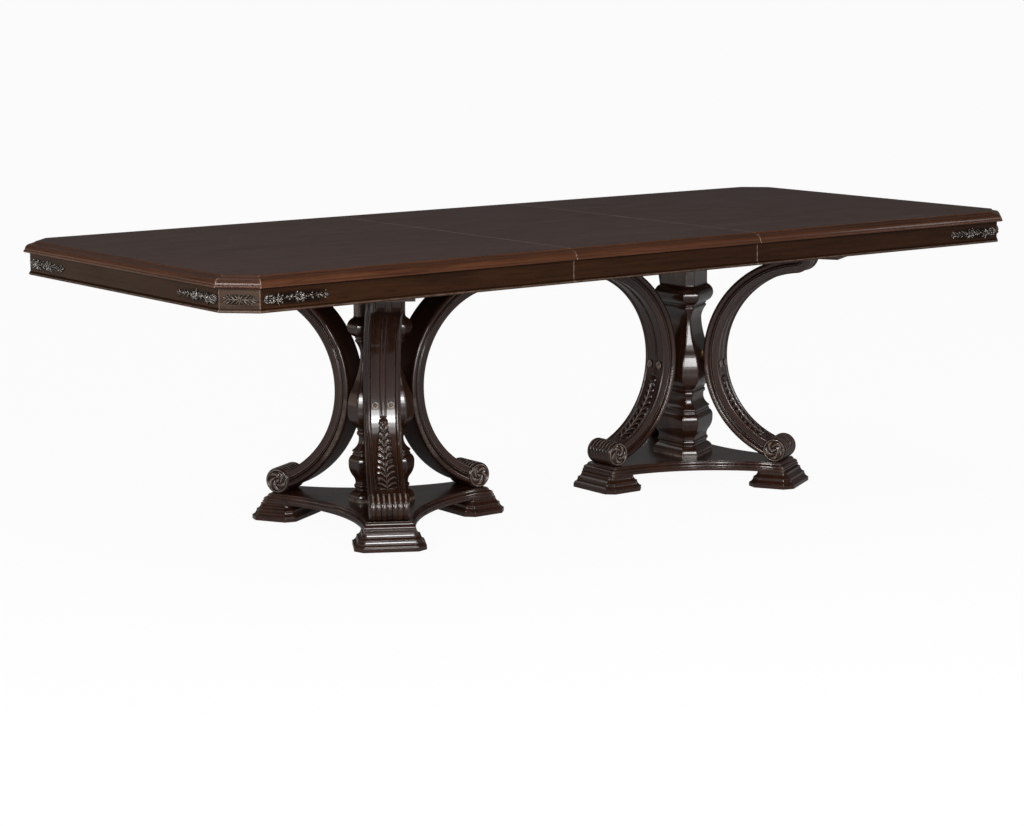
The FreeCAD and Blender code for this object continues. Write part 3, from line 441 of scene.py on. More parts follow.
def wood_finish(name, deep, light, pale, dark, figure=0.9, streak=1.2, pores=0.45, gloss=0.3, amount=0.8,
                specular=0.4, coat=0.0, patches=1.0, evenness=0.4, carried=True):
    """A stained wood: grain, then rubbing and glazing with painted highlight and shade, then lacquer, into
    one shader.
    """
    material, tree, shader = new_material(name)
    if carried:
        # The bend masks bring wear with painted highlight, and glaze with painted shade.
        carries = {label: add(tree, "Attribute", {"attribute_name": label}).outputs
                   for label in ("fibres", "rub_and_painted_highlight", "glaze_and_painted_shade")}
        place = carries["fibres"]["Vector"]
        rub_and_lit, glaze_and_shade = carries["rub_and_painted_highlight"]["Fac"], carries["glaze_and_painted_shade"]["Fac"]
    else:
        place, rub_and_lit, glaze_and_shade = add(tree, "TexCoord").outputs["Object"], 0.0, 0.0
    grain = add(tree, "Group", {"node_tree": stained_grain}, Place=place, Deep=deep, Light=light,
                Figure=figure, Streak=streak, Pores=pores).outputs
    worn_and_lit = add(tree, "Group", {"node_tree": rub_glaze_and_painted_light}, Place=place, Colour=grain["Colour"], Rub=rub_and_lit,
               Glaze=glaze_and_shade, Pale=pale, Dark=dark, Amount=amount, Patches=patches, Evenness=evenness).outputs
    film = add(tree, "Group", {"node_tree": lacquer}, Place=place, Relief=grain["Relief"], Gloss=gloss,
               Rubbed=worn_and_lit["Rubbed"]).outputs
    feed(tree, shader, Base_Color=worn_and_lit["Colour"], Roughness=film["Roughness"], Normal=film["Normal"],
         Specular_IOR_Level=specular, Coat_Weight=coat, Coat_Roughness=COAT_ROUGHNESS, Coat_IOR=COAT_IOR)
    return material


# The pale rubbing on the pedestals' beads and arrises is partly painted highlight.
pedestal_finish = wood_finish(
    "pedestal lacquer", tone(11, 6, 4), tone(53, 29, 19), tone(166, 150, 138), tone(3, 2, 2),
    figure=1.4, streak=1.0, gloss=0.3, amount=0.38, specular=0.065, coat=0.24)
dull_back_finish = wood_finish(
    "thin lacquer", tone(12, 6, 4), tone(50, 27, 18), tone(120, 100, 88), tone(3, 2, 2),
    figure=1.3, streak=1.0, gloss=0.4, amount=0.2, specular=0.03)
moulding_finish = wood_finish(
    "moulding walnut", tone(36, 19, 11), tone(80, 47, 30), tone(164, 146, 134), tone(12, 6, 3),
    gloss=0.34, amount=0.5, specular=0.06, coat=0.05)
apron_finish = wood_finish(
    "apron walnut", tone(22, 12, 6), tone(50, 29, 16), tone(160, 142, 130), tone(6, 3, 2),
    gloss=0.36, amount=0.45, specular=0.03, coat=0.01)
# The carvings' near-white pale, in sparse patches, paints glints on them: painted highlights.
carved_finish = wood_finish(
    "carved trim", tone(18, 12, 8), tone(44, 31, 23), tone(232, 224, 214), tone(3, 2, 2),
    gloss=0.28, amount=0.76, specular=0.12, coat=0.25, patches=3.0, evenness=-1.5)
# The corner blocks are painted lighter and greyer than the aprons, as painted light.
corner_painted_light_finish = wood_finish(
    "corner walnut painted lighter", tone(40, 30, 24), tone(76, 60, 50), tone(160, 142, 130), tone(12, 8, 6),
    gloss=0.36, amount=0.45, specular=0.03, coat=0.01)
# The pale rubbing on the leaf panel's strokes is partly painted highlight.
leaf_panel_finish = wood_finish(
    "carved leaf panel", tone(46, 31, 22), tone(88, 63, 48), tone(206, 192, 178), tone(3, 2, 1),
    gloss=0.34, amount=0.75, specular=0.05, coat=0.05)
hidden_finish = wood_finish(
    "sealed hardwood", tone(150, 116, 80), tone(196, 160, 116), tone(200, 170, 130), tone(90, 60, 40),
    gloss=0.55, specular=0.3, carried=False)
board_finish = wood_finish(
    "stained board", tone(34, 23, 17), tone(62, 43, 32), tone(120, 92, 74), tone(14, 9, 7),
    gloss=0.45, specular=0.3, carried=False)
woods = (pedestal_finish, dull_back_finish, moulding_finish, apron_finish, carved_finish, corner_painted_light_finish,
         leaf_panel_finish, hidden_finish, board_finish)
print("wood finishes:", ", ".join(wood.name for wood in woods))

# %% [markdown]
# **The tabletop.** The top is a sheet of straight-grained veneer under a satin film, darker
# and greyer than its edge. Where the half tops meet the leaf, the film has worn through to a
# pale line; the mask for it is the distance from the two meeting planes.

# %% Tabletop veneer
SEAM = 305.0
WORN_EDGE, WORN_FULL = 1.8, 0.6

veneer_finish = wood_finish(
    "veneer", tone(39, 24, 20), tone(65, 46, 39), tone(140, 116, 100), tone(20, 14, 12),
    figure=0.6, streak=1.5, pores=0.35, gloss=0.46, amount=1.0, specular=0.1, carried=False)
tree = veneer_finish.node_tree
place = tree.nodes["Texture Coordinate"].outputs["Object"]
from_middle = math_node(tree, "ABSOLUTE", add(tree, "SeparateXYZ", Vector=place).outputs[0])
from_seam = math_node(tree, "ABSOLUTE", math_node(tree, "SUBTRACT", from_middle, SEAM * MM))
groups = [node for node in tree.nodes if node.type == "GROUP"]
worn_group = next(node for node in groups if node.node_tree == rub_glaze_and_painted_light)
feed(tree, worn_group, Rub=ramp(tree, from_seam, WORN_EDGE * MM, WORN_FULL * MM))
print("veneer: pale line within %.1f mm of x = +/-%.0f mm" % (WORN_EDGE, SEAM))

# %% [markdown]
# **Metal and plastic.** Screws, rods and nuts are zinc plated, with a brushed, cloudy
# brightness; the floor glides are black nylon with a fine moulded texture.

# %% Zinc and nylon
def plain_finish(name, low, high, metallic, rough, spread, grain):
    """A two-tone cloudy finish with matching changes of roughness."""
    material, tree, shader = new_material(name)
    place = add(tree, "TexCoord").outputs["Object"]
    clouds = noise(tree, stretch(tree, place, grain, grain, grain), 4, 0.6)
    feed(tree, shader, Metallic=metallic,
         Base_Color=blend(tree, ramp(tree, clouds, 0.3, 0.7), low, high),
         Roughness=ramp(tree, clouds, 0.3, 0.7, start=rough - spread, end=rough + spread),
         Normal=add(tree, "Bump", Strength=0.15, Distance=0.0004, Height=clouds).outputs[0])
    return material


zinc_finish = plain_finish("zinc plate", tone(150, 152, 154), tone(206, 206, 202), 1.0, 0.34, 0.1, 180)
nylon_finish = plain_finish("black nylon", tone(22, 22, 23), tone(38, 38, 39), 0.0, 0.55, 0.08, 900)
print("plain finishes:", zinc_finish.name, "and", nylon_finish.name)

# %% [markdown]
# ## The moulded rim and the aprons
# Every strip round the top is the same thing: a profile carried along one straight edge and
# mitred at its ends. A corner of an inset outline moves in a straight line as the inset grows,
# so a point of the strip is found by leaning both end corners by its inset and going a share
# of the way between them. The last millimetre of each strip is drawn in, as a hand-planed
# joint is, so joints catch the light as fine lines.

# %% Outlines of the top
TOP, UNDERSIDE, APRON_FOOT = 762.0, 735.0, 676.0
HALF_LENGTH, HALF_WIDTH, CLIP = 1295.0, 559.0, 77.0
SEAM_HALF, SEAM_LEAF = SEAM + 0.25, SEAM - 0.25

left_corners = np.array([
    [-SEAM_HALF, HALF_WIDTH], [CLIP - HALF_LENGTH, HALF_WIDTH], [-HALF_LENGTH, HALF_WIDTH - CLIP],
    [-HALF_LENGTH, CLIP - HALF_WIDTH], [CLIP - HALF_LENGTH, -HALF_WIDTH], [-SEAM_HALF, -HALF_WIDTH],
])
leaf_corners = np.array([
    [SEAM_LEAF, HALF_WIDTH], [-SEAM_LEAF, HALF_WIDTH], [-SEAM_LEAF, -HALF_WIDTH], [SEAM_LEAF, -HALF_WIDTH],
])
LEFT_SHOWN = np.array([1, 1, 1, 1, 1, 0])
LEAF_SHOWN = np.array([1, 0, 1, 0])


def corner_lean(corners, shown):
    """How far each corner moves for one millimetre of inset: both its shown edges move in by one."""
    run = np.roll(corners, -1, 0) - corners
    inward = np.stack([-run[:, 1], run[:, 0]], -1) / np.linalg.norm(run, axis=1)[:, None]
    pairs = np.stack([np.roll(inward, 1, 0), inward], 1)
    wanted = np.stack([np.roll(shown, 1), shown], 1).astype(float)
    return np.linalg.solve(pairs, wanted[..., None])[..., 0]


left_lean = corner_lean(left_corners, LEFT_SHOWN)
leaf_lean = corner_lean(leaf_corners, LEAF_SHOWN)
print("a clipped corner leans", np.round(left_lean[1], 3), "per millimetre of inset")

# %% Mitred strips
NEAR_END, END_MARGIN, PITCH = np.array([0, 0.7, 1.7, 3.0]), 9.0, 60.0
DRAWN_IN = 0.6
JOINT_REACH, JOINT_FADE = 1.6, 1.2
NEXT_BOARD = np.array([1700.0, 300.0, 0])  # each edge's strip comes from another place in the plank


def capped(fibres):
    """Fibre places of a grid and of its two cap points."""
    return np.concatenate([fibres.reshape(-1, 3), fibres[[0, -1]].mean(1)])


def mitred_strip(corners, lean, edge, profile):
    """Profile (inset, height) carried from one corner to the next; also each point's fibre place.

    Point = start + share * (end - start), where start and end are the corners leant by the inset.
    """
    a, b = edge, (edge + 1) % len(corners)
    length = np.linalg.norm(corners[b] - corners[a])
    middle = np.linspace(END_MARGIN, length - END_MARGIN, max(3, int(length / PITCH)))
    along = np.concatenate([NEAR_END, middle, length - NEAR_END[::-1]])
    ahead = np.roll(profile, -1, 0)
    side = ahead - np.roll(profile, 1, 0)
    side /= np.maximum(np.linalg.norm(side, axis=1), 1e-9)[:, None]
    way = np.sign((profile[:, 0] * ahead[:, 1] - profile[:, 1] * ahead[:, 0]).sum())
    inner = way * np.stack([-side[:, 1], side[:, 0]], -1)
    pull = np.where((along == 0) | (along == length), DRAWN_IN, 0.0)
    section = profile[None] + pull[:, None, None] * inner[None]
    start = corners[a] + section[..., :1] * lean[a]
    end = corners[b] + section[..., :1] * lean[b]
    plan = start + (end - start) * (along / length)[:, None, None]
    points = np.concatenate([plan, section[..., 1:]], -1)
    fibres = np.stack([along[:, None] + 0 * section[..., 0], section[..., 0], section[..., 1]], -1)
    to_end = np.minimum(along, length - along)
    wear_and_highlight = np.repeat(np.clip((JOINT_REACH - to_end) / JOINT_FADE, 0, 1), len(profile))
    return grid_shell(points), capped(fibres + edge * NEXT_BOARD), np.append(wear_and_highlight, [0, 0])


def strips(corners, lean, edges, profile):
    """Several strips of one profile, with their fibres and their joint marks in one list each."""
    shells, fibres, joints = zip(*[mitred_strip(corners, lean, edge, profile) for edge in edges])
    return list(shells), {"grain": np.concatenate(fibres), "wear_and_highlight": np.concatenate(joints)}


def band(shells, low, high, strength):
    """Marks of one strength for the points between two heights, fading over a millimetre."""
    z = all_points(shells)[:, 2]
    return strength * np.clip(z - low + 0.5, 0, 1) * np.clip(high - z + 0.5, 0, 1)


def both_halves(shells):
    """Shells of the left half, and the same turned half round the table's centre for the right."""
    half_round = np.array([-1, -1, 1.0])
    yield "left", shells
    yield "right", [(points * half_round, quads, triangles) for points, quads, triangles in shells]


print("a strip's ends are drawn in by", DRAWN_IN, "mm")

# %% [markdown]
# The edge moulding steps down from the top through a small hollow, a fillet and a long round to
# a narrow lower edge. Its upper face lies in the plane of the top and takes the veneer's finish,
# so the top looks like one sheet with a moulded edge.

# %% Edge mouldings
RIM_DEPTH = 36.0
rim = (moulding_finish, veneer_finish)
moulding_profile = soften(outline((RIM_DEPTH, TOP), [
    [(28, TOP)], [(25.4, TOP - 3.7), (21, TOP - 5)], [(18.5, TOP - 5)], [(8.1, TOP - 9.2), (3, TOP - 19)],
    [(3, TOP - 20.6)], [(0.8, TOP - 21.4), (0, TOP - 23.6)], [(0, UNDERSIDE + 1.4)],
    [(0.4, UNDERSIDE + 0.4), (1.4, UNDERSIDE)], [(RIM_DEPTH, UNDERSIDE)],
]), closed=False)


def flat_top(centres):
    """Material 1, the veneer, for faces in the plane of the tabletop."""
    return centres[:, 2] > TOP - 0.25


def rim_strips(corners, lean, edges):
    """Strips of edge moulding, with painted shade over the band from 2 to 12 mm below the top, hollow
    included.
    """
    shells, marks = strips(corners, lean, edges, moulding_profile)
    return shells, {"pick": flat_top, "shade": band(shells, TOP - 12, TOP - 2, 0.4), **marks}


shells, marks = rim_strips(left_corners, left_lean, range(5))
for end, made in both_halves(shells):
    carve(f"{end}_rim_moulding", made, f"{end}_half", "edge_wood", rim, [f"{end}_edge_mouldings"], **marks)
shells, marks = rim_strips(leaf_corners, leaf_lean, (0, 2))
carve("leaf_rim_moulding", shells, "leaf", "edge_wood", rim, ["leaf_edge_mouldings"], **marks)

# %% [markdown]
# The aprons hang under the rim, set back from it, with a half-round bead along the foot.
# At each clipped corner a thicker block takes the carved leaf panel, and is painted lighter and greyer than
# the aprons, as painted light.
# Both have the same face, so they share one outline and differ in depth.

# %% Aprons and corner blocks
FACE, BOARD_DEPTH, BLOCK_DEPTH = 15.0, 20.0, 38.0


def apron_strips(corners, lean, edges, depth):
    """Flat face, a quirk, a half-round bead and a back at the given depth, as strips with marks.

    Painted shade darkens the top 4 mm of the apron under the rim, and a painted highlight lightens the
    round of the foot's bead.
    """
    profile = soften(outline((FACE, UNDERSIDE), [
        [(FACE, UNDERSIDE - 3)], [(FACE, UNDERSIDE - 9)], [(FACE, APRON_FOOT + 10)],
        [(FACE + 1.2, APRON_FOOT + 8.6)], [(FACE, APRON_FOOT + 8)],
        [(FACE - 4, APRON_FOOT + 4), (FACE, APRON_FOOT)],
        [(FACE + depth, APRON_FOOT)], [(FACE + depth, UNDERSIDE)],
    ]), cut=0.5)
    shells, marks = strips(corners, lean, edges, profile)
    marks["shade"] = band(shells, UNDERSIDE - 4, UNDERSIDE, 0.6)
    marks["wear_and_highlight"] = np.maximum(marks["wear_and_highlight"], band(shells, APRON_FOOT + 2, APRON_FOOT + 6, 0.5))
    return shells, marks


for edge, sides in ((0, ("back", "front")), (2, ("end", "end")), (4, ("front", "back"))):
    shells, marks = apron_strips(left_corners, left_lean, [edge], BOARD_DEPTH)
    for side, (end, made) in zip(sides, both_halves(shells)):
        name = f"{end}_{side}_apron"
        carve(f"{name}_board", made, f"{end}_half", "apron_wood", [apron_finish], [name], **marks)
for side, edge in (("back", 0), ("front", 2)):
    shells, marks = apron_strips(leaf_corners, leaf_lean, [edge], BOARD_DEPTH)
    name = f"leaf_{side}_apron"
    carve(f"{name}_board", shells, "leaf", "apron_wood", [apron_finish], [name], **marks)
shells, marks = apron_strips(left_corners, left_lean, (1, 3), BLOCK_DEPTH)
for end, made in both_halves(shells):
    blocks = [f"{end}_corner_blocks"]
    carve(f"{end}_corner_pieces", made, f"{end}_half", "apron_wood", [corner_painted_light_finish], blocks, **marks)

# %% [markdown]
# ## Applied carvings
# Beside each corner the apron carries a rosette and a trailing vine, and the corner block a
# spray of acanthus leaves. One leaf is enough for all of it: a blade that swells from its stem
# and narrows to its tip, crowned, with a furrow down the middle. Blades of many sizes are
# laid out flat, then the whole layout is set on a face of the apron.

# %% One leaf, one roll, one boss
LEAF_ROWS, LEAF_COLUMNS = 13, 16
LET_IN = -0.4  # the underside of a leaf lies this deep in the face that carries it
STEM_SIDES = 10


def around(count):
    """Angles of points evenly spaced round a circle."""
    return np.linspace(0, math.tau, count, endpoint=False)


def turned(x, y, degrees):
    """Two coordinates turned about their origin: x cos - y sin, and x sin + y cos."""
    t = math.radians(degrees)
    return x * math.cos(t) - y * math.sin(t), x * math.sin(t) + y * math.cos(t)


def leaf_blade(length, width, height, bend=0.0):
    """Blade on the plane: half width = sin(pi u^0.75)^0.8, crown = sin(pi u^0.6)^0.6, furrowed at v = 0."""
    u = np.linspace(0.012, 0.988, LEAF_ROWS)[:, None]
    t = around(LEAF_COLUMNS)[None]
    half = 0.5 * width * np.sin(np.pi * u ** 0.75) ** 0.8 + 0.12
    crown = height * np.sin(np.pi * u ** 0.6) ** 0.6
    v, lift = np.cos(t), np.clip(np.sin(t), 0, 1)
    furrow = 1 - 0.5 * np.exp(-(v / 0.22) ** 2)
    a = u * length + 0 * v
    b = v * half + bend * length * u ** 2
    c = np.where(np.sin(t) > 1e-6, crown * lift ** 0.8 * furrow, LET_IN)
    return np.stack([a, b, c], -1)


def leaf_painted_shade():
    """Painted shade for a blade's points: none on the crown, full at both edges and at the tips."""
    v = np.abs(np.cos(around(LEAF_COLUMNS)))
    return np.append(np.tile(np.clip((v - 0.5) / 0.3, 0, 1), LEAF_ROWS), [1, 1])


def placed(points, a=0.0, b=0.0, angle=0.0, mirror=1.0):
    """A flat layout turned by an angle in degrees, then moved; mirror -1 flips it top to bottom."""
    x, y = turned(points[..., 0], points[..., 1] * mirror, angle)
    return np.stack([a + x, b + y, points[..., 2]], -1)


def turned_boss(profile, segments, waves=0, depth=0.0):
    """Profile (radius, height) spun round an axis; waves petals of a given depth scallop the radius."""
    t = around(segments)[None]
    r = profile[:, :1] * (1 - depth * (0.5 - 0.5 * np.cos(waves * t)))
    return np.stack([r * np.cos(t), r * np.sin(t), profile[:, 1:] + 0 * t], -1)


def roll(path, radius):
    """Round stem along a flat path: the circle stands across the path's own direction."""
    side = np.gradient(path, axis=0)
    side = np.stack([-side[:, 1], side[:, 0]], -1) / np.linalg.norm(side, axis=1)[:, None]
    t = around(STEM_SIDES)
    plan = path[:, None] + radius[:, None, None] * np.cos(t)[None, :, None] * side[:, None]
    return np.concatenate([plan, (radius[:, None] * (0.25 + np.sin(t))[None])[..., None]], -1)


print("one leaf has", leaf_blade(10, 4, 2)[..., 0].size, "points")

# %% Layouts of the vine and the leaf spray
VINE, STEM_START = 186.0, 44
WREATH, WREATH_OVAL = 25.0, np.array([1.35, 1, 1])

# place along, angle, length, width
VINE_LEAVES = (
    # a tuft by the wreath
    (44, 60, 16, 7), (44, -60, 16, 7), (47, 27, 18, 7), (47, -27, 18, 7), (50, 0, 15, 6),
    # a sprig
    (69, 38, 13, 6), (72, -34, 13, 6), (79, 26, 12, 5), (81, -30, 11, 5),
    # a large tuft
    (94, 58, 15, 7), (95, -56, 15, 7), (97, 30, 20, 8), (98, -29, 20, 8), (102, 0, 21, 7),
    (109, 46, 15, 7), (110, -43, 15, 7), (115, 17, 14, 6), (116, -20, 14, 6),
    # thin twigs
    (130, 30, 15, 5), (133, -28, 15, 5), (145, 24, 14, 5), (148, -26, 14, 5), (157, 20, 13, 5),
    (159, -20, 13, 5),
    # the bud's two leaves
    (171, 48, 12, 5), (171, -48, 12, 5),
)


def stem_sway(a):
    """Sideways waver of the vine's stem, which dies out towards its tip."""
    return 2.4 * (1 - 0.7 * (a - STEM_START) / (VINE - STEM_START)) * np.sin(a / 10.5)


def vine_layout():
    """An oval wreath of leaves round three petals, then a wavering stem with leaves, and a bud."""
    leaf = placed(leaf_blade(12.5, 6.2, 5.0, 0.12), -5.5, -10.2, 14)
    petal = placed(leaf_blade(5.6, 4.2, 4.4), 0.8)
    wreath = [placed(leaf, angle=angle) for angle in range(0, 360, 36)]
    wreath += [placed(petal, angle=angle) for angle in (30, 150, 270)]
    parts = [placed(part * WREATH_OVAL, WREATH) for part in wreath]
    a = np.linspace(STEM_START - 1, VINE - 8, 90)
    parts.append(roll(np.stack([a, stem_sway(a)], -1), np.linspace(1.8, 1.0, 90)))
    for x, angle, length, width in VINE_LEAVES:
        way = 1 if angle >= 0 else -1
        parts.append(placed(leaf_blade(length, width, 0.72 * width, 0.16), x, stem_sway(x), angle, way))
    bud = outline((4.6, -0.3), [[(4.6, 1.6)], [(3.4, 4.6), (0.1, 5.6)]], 7)
    return parts + [placed(turned_boss(bud, 24, 5, 0.12), VINE - 5)]


def spray_layout():
    """Two feathers of leaflets, laid end to end from the middle, with a short leaf up and one down."""
    feather = [placed(leaf_blade(10, 3.4, 5.4), 32)]
    for x, angle, length in ((1, 47, 13), (10.5, 41, 16), (20, 38, 15), (28.5, 32, 12)):
        leaflet = leaf_blade(length, 3.6, 6.2, -0.05)
        feather += [placed(leaflet, x, 1.2 * way, angle * way, way) for way in (1, -1)]
    a = np.linspace(1.5, 33, 30)
    feather.append(roll(np.stack([a, 0 * a], -1), np.linspace(1.0, 0.7, 30)))
    short = placed(leaf_blade(10.5, 3.6, 5.4), 2.0)
    parts = feather + [placed(part, angle=180) for part in feather]
    return parts + [placed(short, angle=angle) for angle in (90, 270)]


vine, spray = vine_layout(), spray_layout()
print("vine:", len(vine), "shells; spray:", len(spray), "shells")

# %% [markdown]
# The ground behind a carving is painted darker than the apron, as painted shade and shadow. Low
# cushions, hardly proud of the face, carry that painted shade: one behind each vine, which fades
# out at its rim, one behind each spray, and an oval one in each wreath.

# %% Glazed grounds
CUSHION_RINGS, CUSHION_COLUMNS = np.linspace(0.05, 1, 9), 56


def low_cushion(length, height, crown):
    """An oblong rounded at its ends, in rings from the middle: height = crown - 2 crown q^4 at ring q."""
    q = CUSHION_RINGS[:, None]
    x, y = np.cos(around(CUSHION_COLUMNS))[None], np.sin(around(CUSHION_COLUMNS))[None]
    a = 0.5 * length * q * np.sign(x) * np.abs(x) ** 0.35
    b = 0.5 * height * q * np.sign(y) * np.abs(y) ** 0.35
    return np.stack([a, b, crown - 2 * crown * q ** 4 + 0 * x], -1)


def cushion_painted_shadow(strength):
    """Painted shadow for a cushion's points, strongest in the middle and none at the rim."""
    return np.append(np.repeat(strength * (1 - CUSHION_RINGS ** 3), CUSHION_COLUMNS), [strength, 0])


dome = np.stack([np.linspace(11.5, 0.4, 6), np.linspace(0.6, 1.0, 6)], -1)
wreath_ground = placed(turned_boss(dome, 40) * WREATH_OVAL, WREATH)
vine_shadow = placed(low_cushion(VINE + 4, 40, 0.2), VINE / 2 + 4)
spray_ground = low_cushion(80, 28, 0.25)
print("a cushion has", vine_shadow[..., 0].size, "points")

# %% Set the carvings on the apron
CARVING_HEIGHT = 707.0
SHADOW_STRENGTH = 0.8


def on_face(parts, origin, along):
    """Flat layouts stood on a vertical face: first axis along it, second up, third outwards."""
    along = along / np.linalg.norm(along)
    out = np.array([along[1], -along[0]])
    out = out if out @ origin > 0 else -out
    stood = []
    for part in parts:
        plan = origin + part[..., :1] * along + part[..., 2:] * out
        stood.append(grid_shell(np.concatenate([plan, CARVING_HEIGHT + part[..., 1:2]], -1)))
    return stood


face_corners = left_corners + FACE * left_lean
shadows, grounds, reliefs = [], [], []
for start, end in ((1, 0), (2, 3), (3, 2), (4, 5)):
    place = face_corners[start], face_corners[end] - face_corners[start]
    shadows += on_face([vine_shadow], *place)
    grounds += on_face([wreath_ground], *place)
    reliefs += on_face(vine, *place)
for start, end in ((1, 2), (3, 4)):
    place = (face_corners[start] + face_corners[end]) / 2, face_corners[end] - face_corners[start]
    grounds += on_face([spray_ground], *place)
    reliefs += on_face(spray, *place)
blade = leaf_painted_shade()
# Painted shadow behind each vine, painted shade over each ground and at each leaf's edges and tips.
marks = [cushion_painted_shadow(SHADOW_STRENGTH)] * len(shadows) + [np.ones(len(shell[0])) for shell in grounds]
marks += [blade if len(shell[0]) == len(blade) else np.zeros(len(shell[0])) for shell in reliefs]
dark = np.concatenate(marks)
clip_face = np.abs(face_corners[1]).sum()
print("carvings:", len(shadows), "shadows,", len(grounds), "grounds,", len(reliefs), "leaves and stems")

# %% Carved trim of both halves
trim = (carved_finish, leaf_panel_finish, apron_finish)


def by_depth(centres):
    """Material 1, the leaf panel's, on a clipped corner; 2, the apron's, for what lies flat on an apron."""
    x, y = np.abs(centres[:, 0]), np.abs(centres[:, 1])
    on_clip = x + y > clip_face - 0.4
    depth = np.maximum(x - (HALF_LENGTH - FACE), y - (HALF_WIDTH - FACE))
    return np.where(on_clip, 1, np.where(depth < 0.35, 2, 0))


for end, made in both_halves(shadows + grounds + reliefs):
    carve(f"{end}_carved_trim", made, f"{end}_half", "carved_wood", trim, [f"{end}_carvings"],
          pick=by_depth, shade=dark)

# %% [markdown]
# ## The columns
# Each pedestal has a six-sided turned-looking column, really sawn: three wide faces towards
# the arms and three narrow ones between them, both following one profile. Carrying a soft
# six-cornered ring up the profile keeps every moulding crisp, and the ring's rest points
# beside each corner keep the rubbing and painted highlight on the arrises fine.

# %% Profile of the column
PEDESTAL = 524.0
COLUMN_FOOT, COLUMN_HEAD = 72.0, 651.0


def up(share):
    """Height at a share of the lower 240 mm, which hold the foot and the vase."""
    return COLUMN_FOOT + 240.0 * share


def down(share):
    """Height at a share of the upper 190 mm, which hold the neck and the cap."""
    return COLUMN_HEAD - 190.0 * share


column_profile = soften(outline((63, COLUMN_FOOT), [
    [(63, 81.0)], [(59.6, 91.6), (50.6, 100.0)], [(48.4, 100.6)], [(48.4, 106.4)], [(49.8, 107.2)],
    [(51.4, 112.0), (49.8, 116.8)], [(48.2, 117.6)], [(48.2, 120.0)], [(49.2, 128.5), (54.0, 138.0)],
    [(60.6, 152.0), (63, 172.0)], [(61.9, 184.0), (57, up(0.502))], [(54.5, up(0.508))],
    [(54.5, up(0.525))], [(52.4, up(0.53))], [(52.4, up(0.542))], [(54.5, up(0.547))], [(54.5, up(0.562))],
    [(43.9, up(0.61)), (40, up(0.717))], [(43.6, up(0.746)), (40.6, up(0.775))], [(42.4, up(0.783))],
    [(42.4, up(0.8))], [(57, up(0.867)), (63, 312.0)], [(60.9, 341.1), (53.85, 365.9)],
    [(39.65, 410.0), (32.5, 461.0)], [(35.2, down(0.926)), (43, down(0.838))], [(44.5, down(0.832))],
    [(44.5, down(0.805))], [(42.1, down(0.8))], [(42.1, down(0.79))], [(44.5, down(0.784))],
    [(44.5, down(0.763))], [(47.5, down(0.758))], [(62, down(0.647)), (48, down(0.5))],
    [(46.5, down(0.479))], [(46.5, COLUMN_HEAD)],
], 12), closed=False)
widest = column_profile[:, 0].max()
print("column profile:", len(column_profile), "points, widest face at", widest.round(1), "mm")

# %% Six-sided rings carried up the profile
NARROW_FURTHER = 24.0
THIRDS = (0, 120, 240)
COLUMN_SHIFT = 40  # the two columns' grain comes from different places in the plank


def softened_ring(corners, cut=1.1, rest=4.0):
    """Rings of corners[level, corner]: two points before each corner, itself drawn in, and two after."""
    back = np.roll(corners, 1, 1) - corners
    ahead = np.roll(corners, -1, 1) - corners
    back /= np.linalg.norm(back, axis=-1, keepdims=True)
    ahead /= np.linalg.norm(ahead, axis=-1, keepdims=True)
    parts = [rest * back, cut * back, 0.3 * cut * (back + ahead), cut * ahead, rest * ahead]
    return (corners[:, :, None] + np.stack(parts, 2)).reshape(len(corners), -1, 2)


def raised(ring, heights):
    """Points of rings in plan, each ring at its own height."""
    return np.concatenate([ring, np.repeat(heights[:, None, None], ring.shape[1], 1)], -1)


def column_shell(axis_x, first_angle):
    """Wide faces stand off by the profile's radius, narrow ones further; corners are where they cross."""
    a, heights = column_profile.T
    half = (a + NARROW_FURTHER - a * math.cos(math.radians(60))) / math.sin(math.radians(60))
    corners = [
        np.stack(turned(a, way * half, first_angle + third), -1) for third in THIRDS for way in (-1, 1)
    ]
    return grid_shell(raised(softened_ring(np.stack(corners, 1)) + np.array([axis_x, 0.0]), heights))


def upright_fibres(shells, axis_x):
    """Fibres that run up: height first, then the two plan directions."""
    x, y, z = all_points(shells).T
    return np.stack([z, x - axis_x + COLUMN_SHIFT * np.sign(axis_x), y], -1)


ends = {"left": (-PEDESTAL, 0.0), "right": (PEDESTAL, 180.0)}
for end, (axis_x, angle) in ends.items():
    shells = [column_shell(axis_x, angle)]
    fibres = upright_fibres(shells, axis_x)
    carve(f"{end}_sawn_column", shells, "base", "pedestal_wood", [pedestal_finish], [f"{end}_column"],
          fibres)

# %% [markdown]
# ## Platforms and feet
# The platform is a three-armed board with hollow sides and a moulded edge. Its outline is
# worked out afresh for each inset, because a hollow side's circle changes as the board
# shrinks. The feet are clipped blocks with two sloping steps.

# %% Three-armed platforms
PLATFORM_END, PLATFORM_HALF, PLATFORM_WAIST = 320.0, 67.0, 149.0
END_SHARES = np.array([-1, -0.985, -0.95, -0.5, 0, 0.5, 0.95, 0.985, 1])[None]
HOLLOW_SHARES = np.linspace(-1, 1, 41)[None, 1:-1]
FLOOR_SHARES = np.array([0.96, 0.5])

platform_profile = soften(outline((3, 46), [
    [(0, 46)], [(0, 53.8)], [(1.6, 55.0)], [(1.4, 59.8), (4.2, 64.0)], [(5.8, 64.6)],
    [(6.6, 68.8), (8, 71.0)], [(8, 72)], [(11, 72)],
], 7), cut=0.5, closed=False)


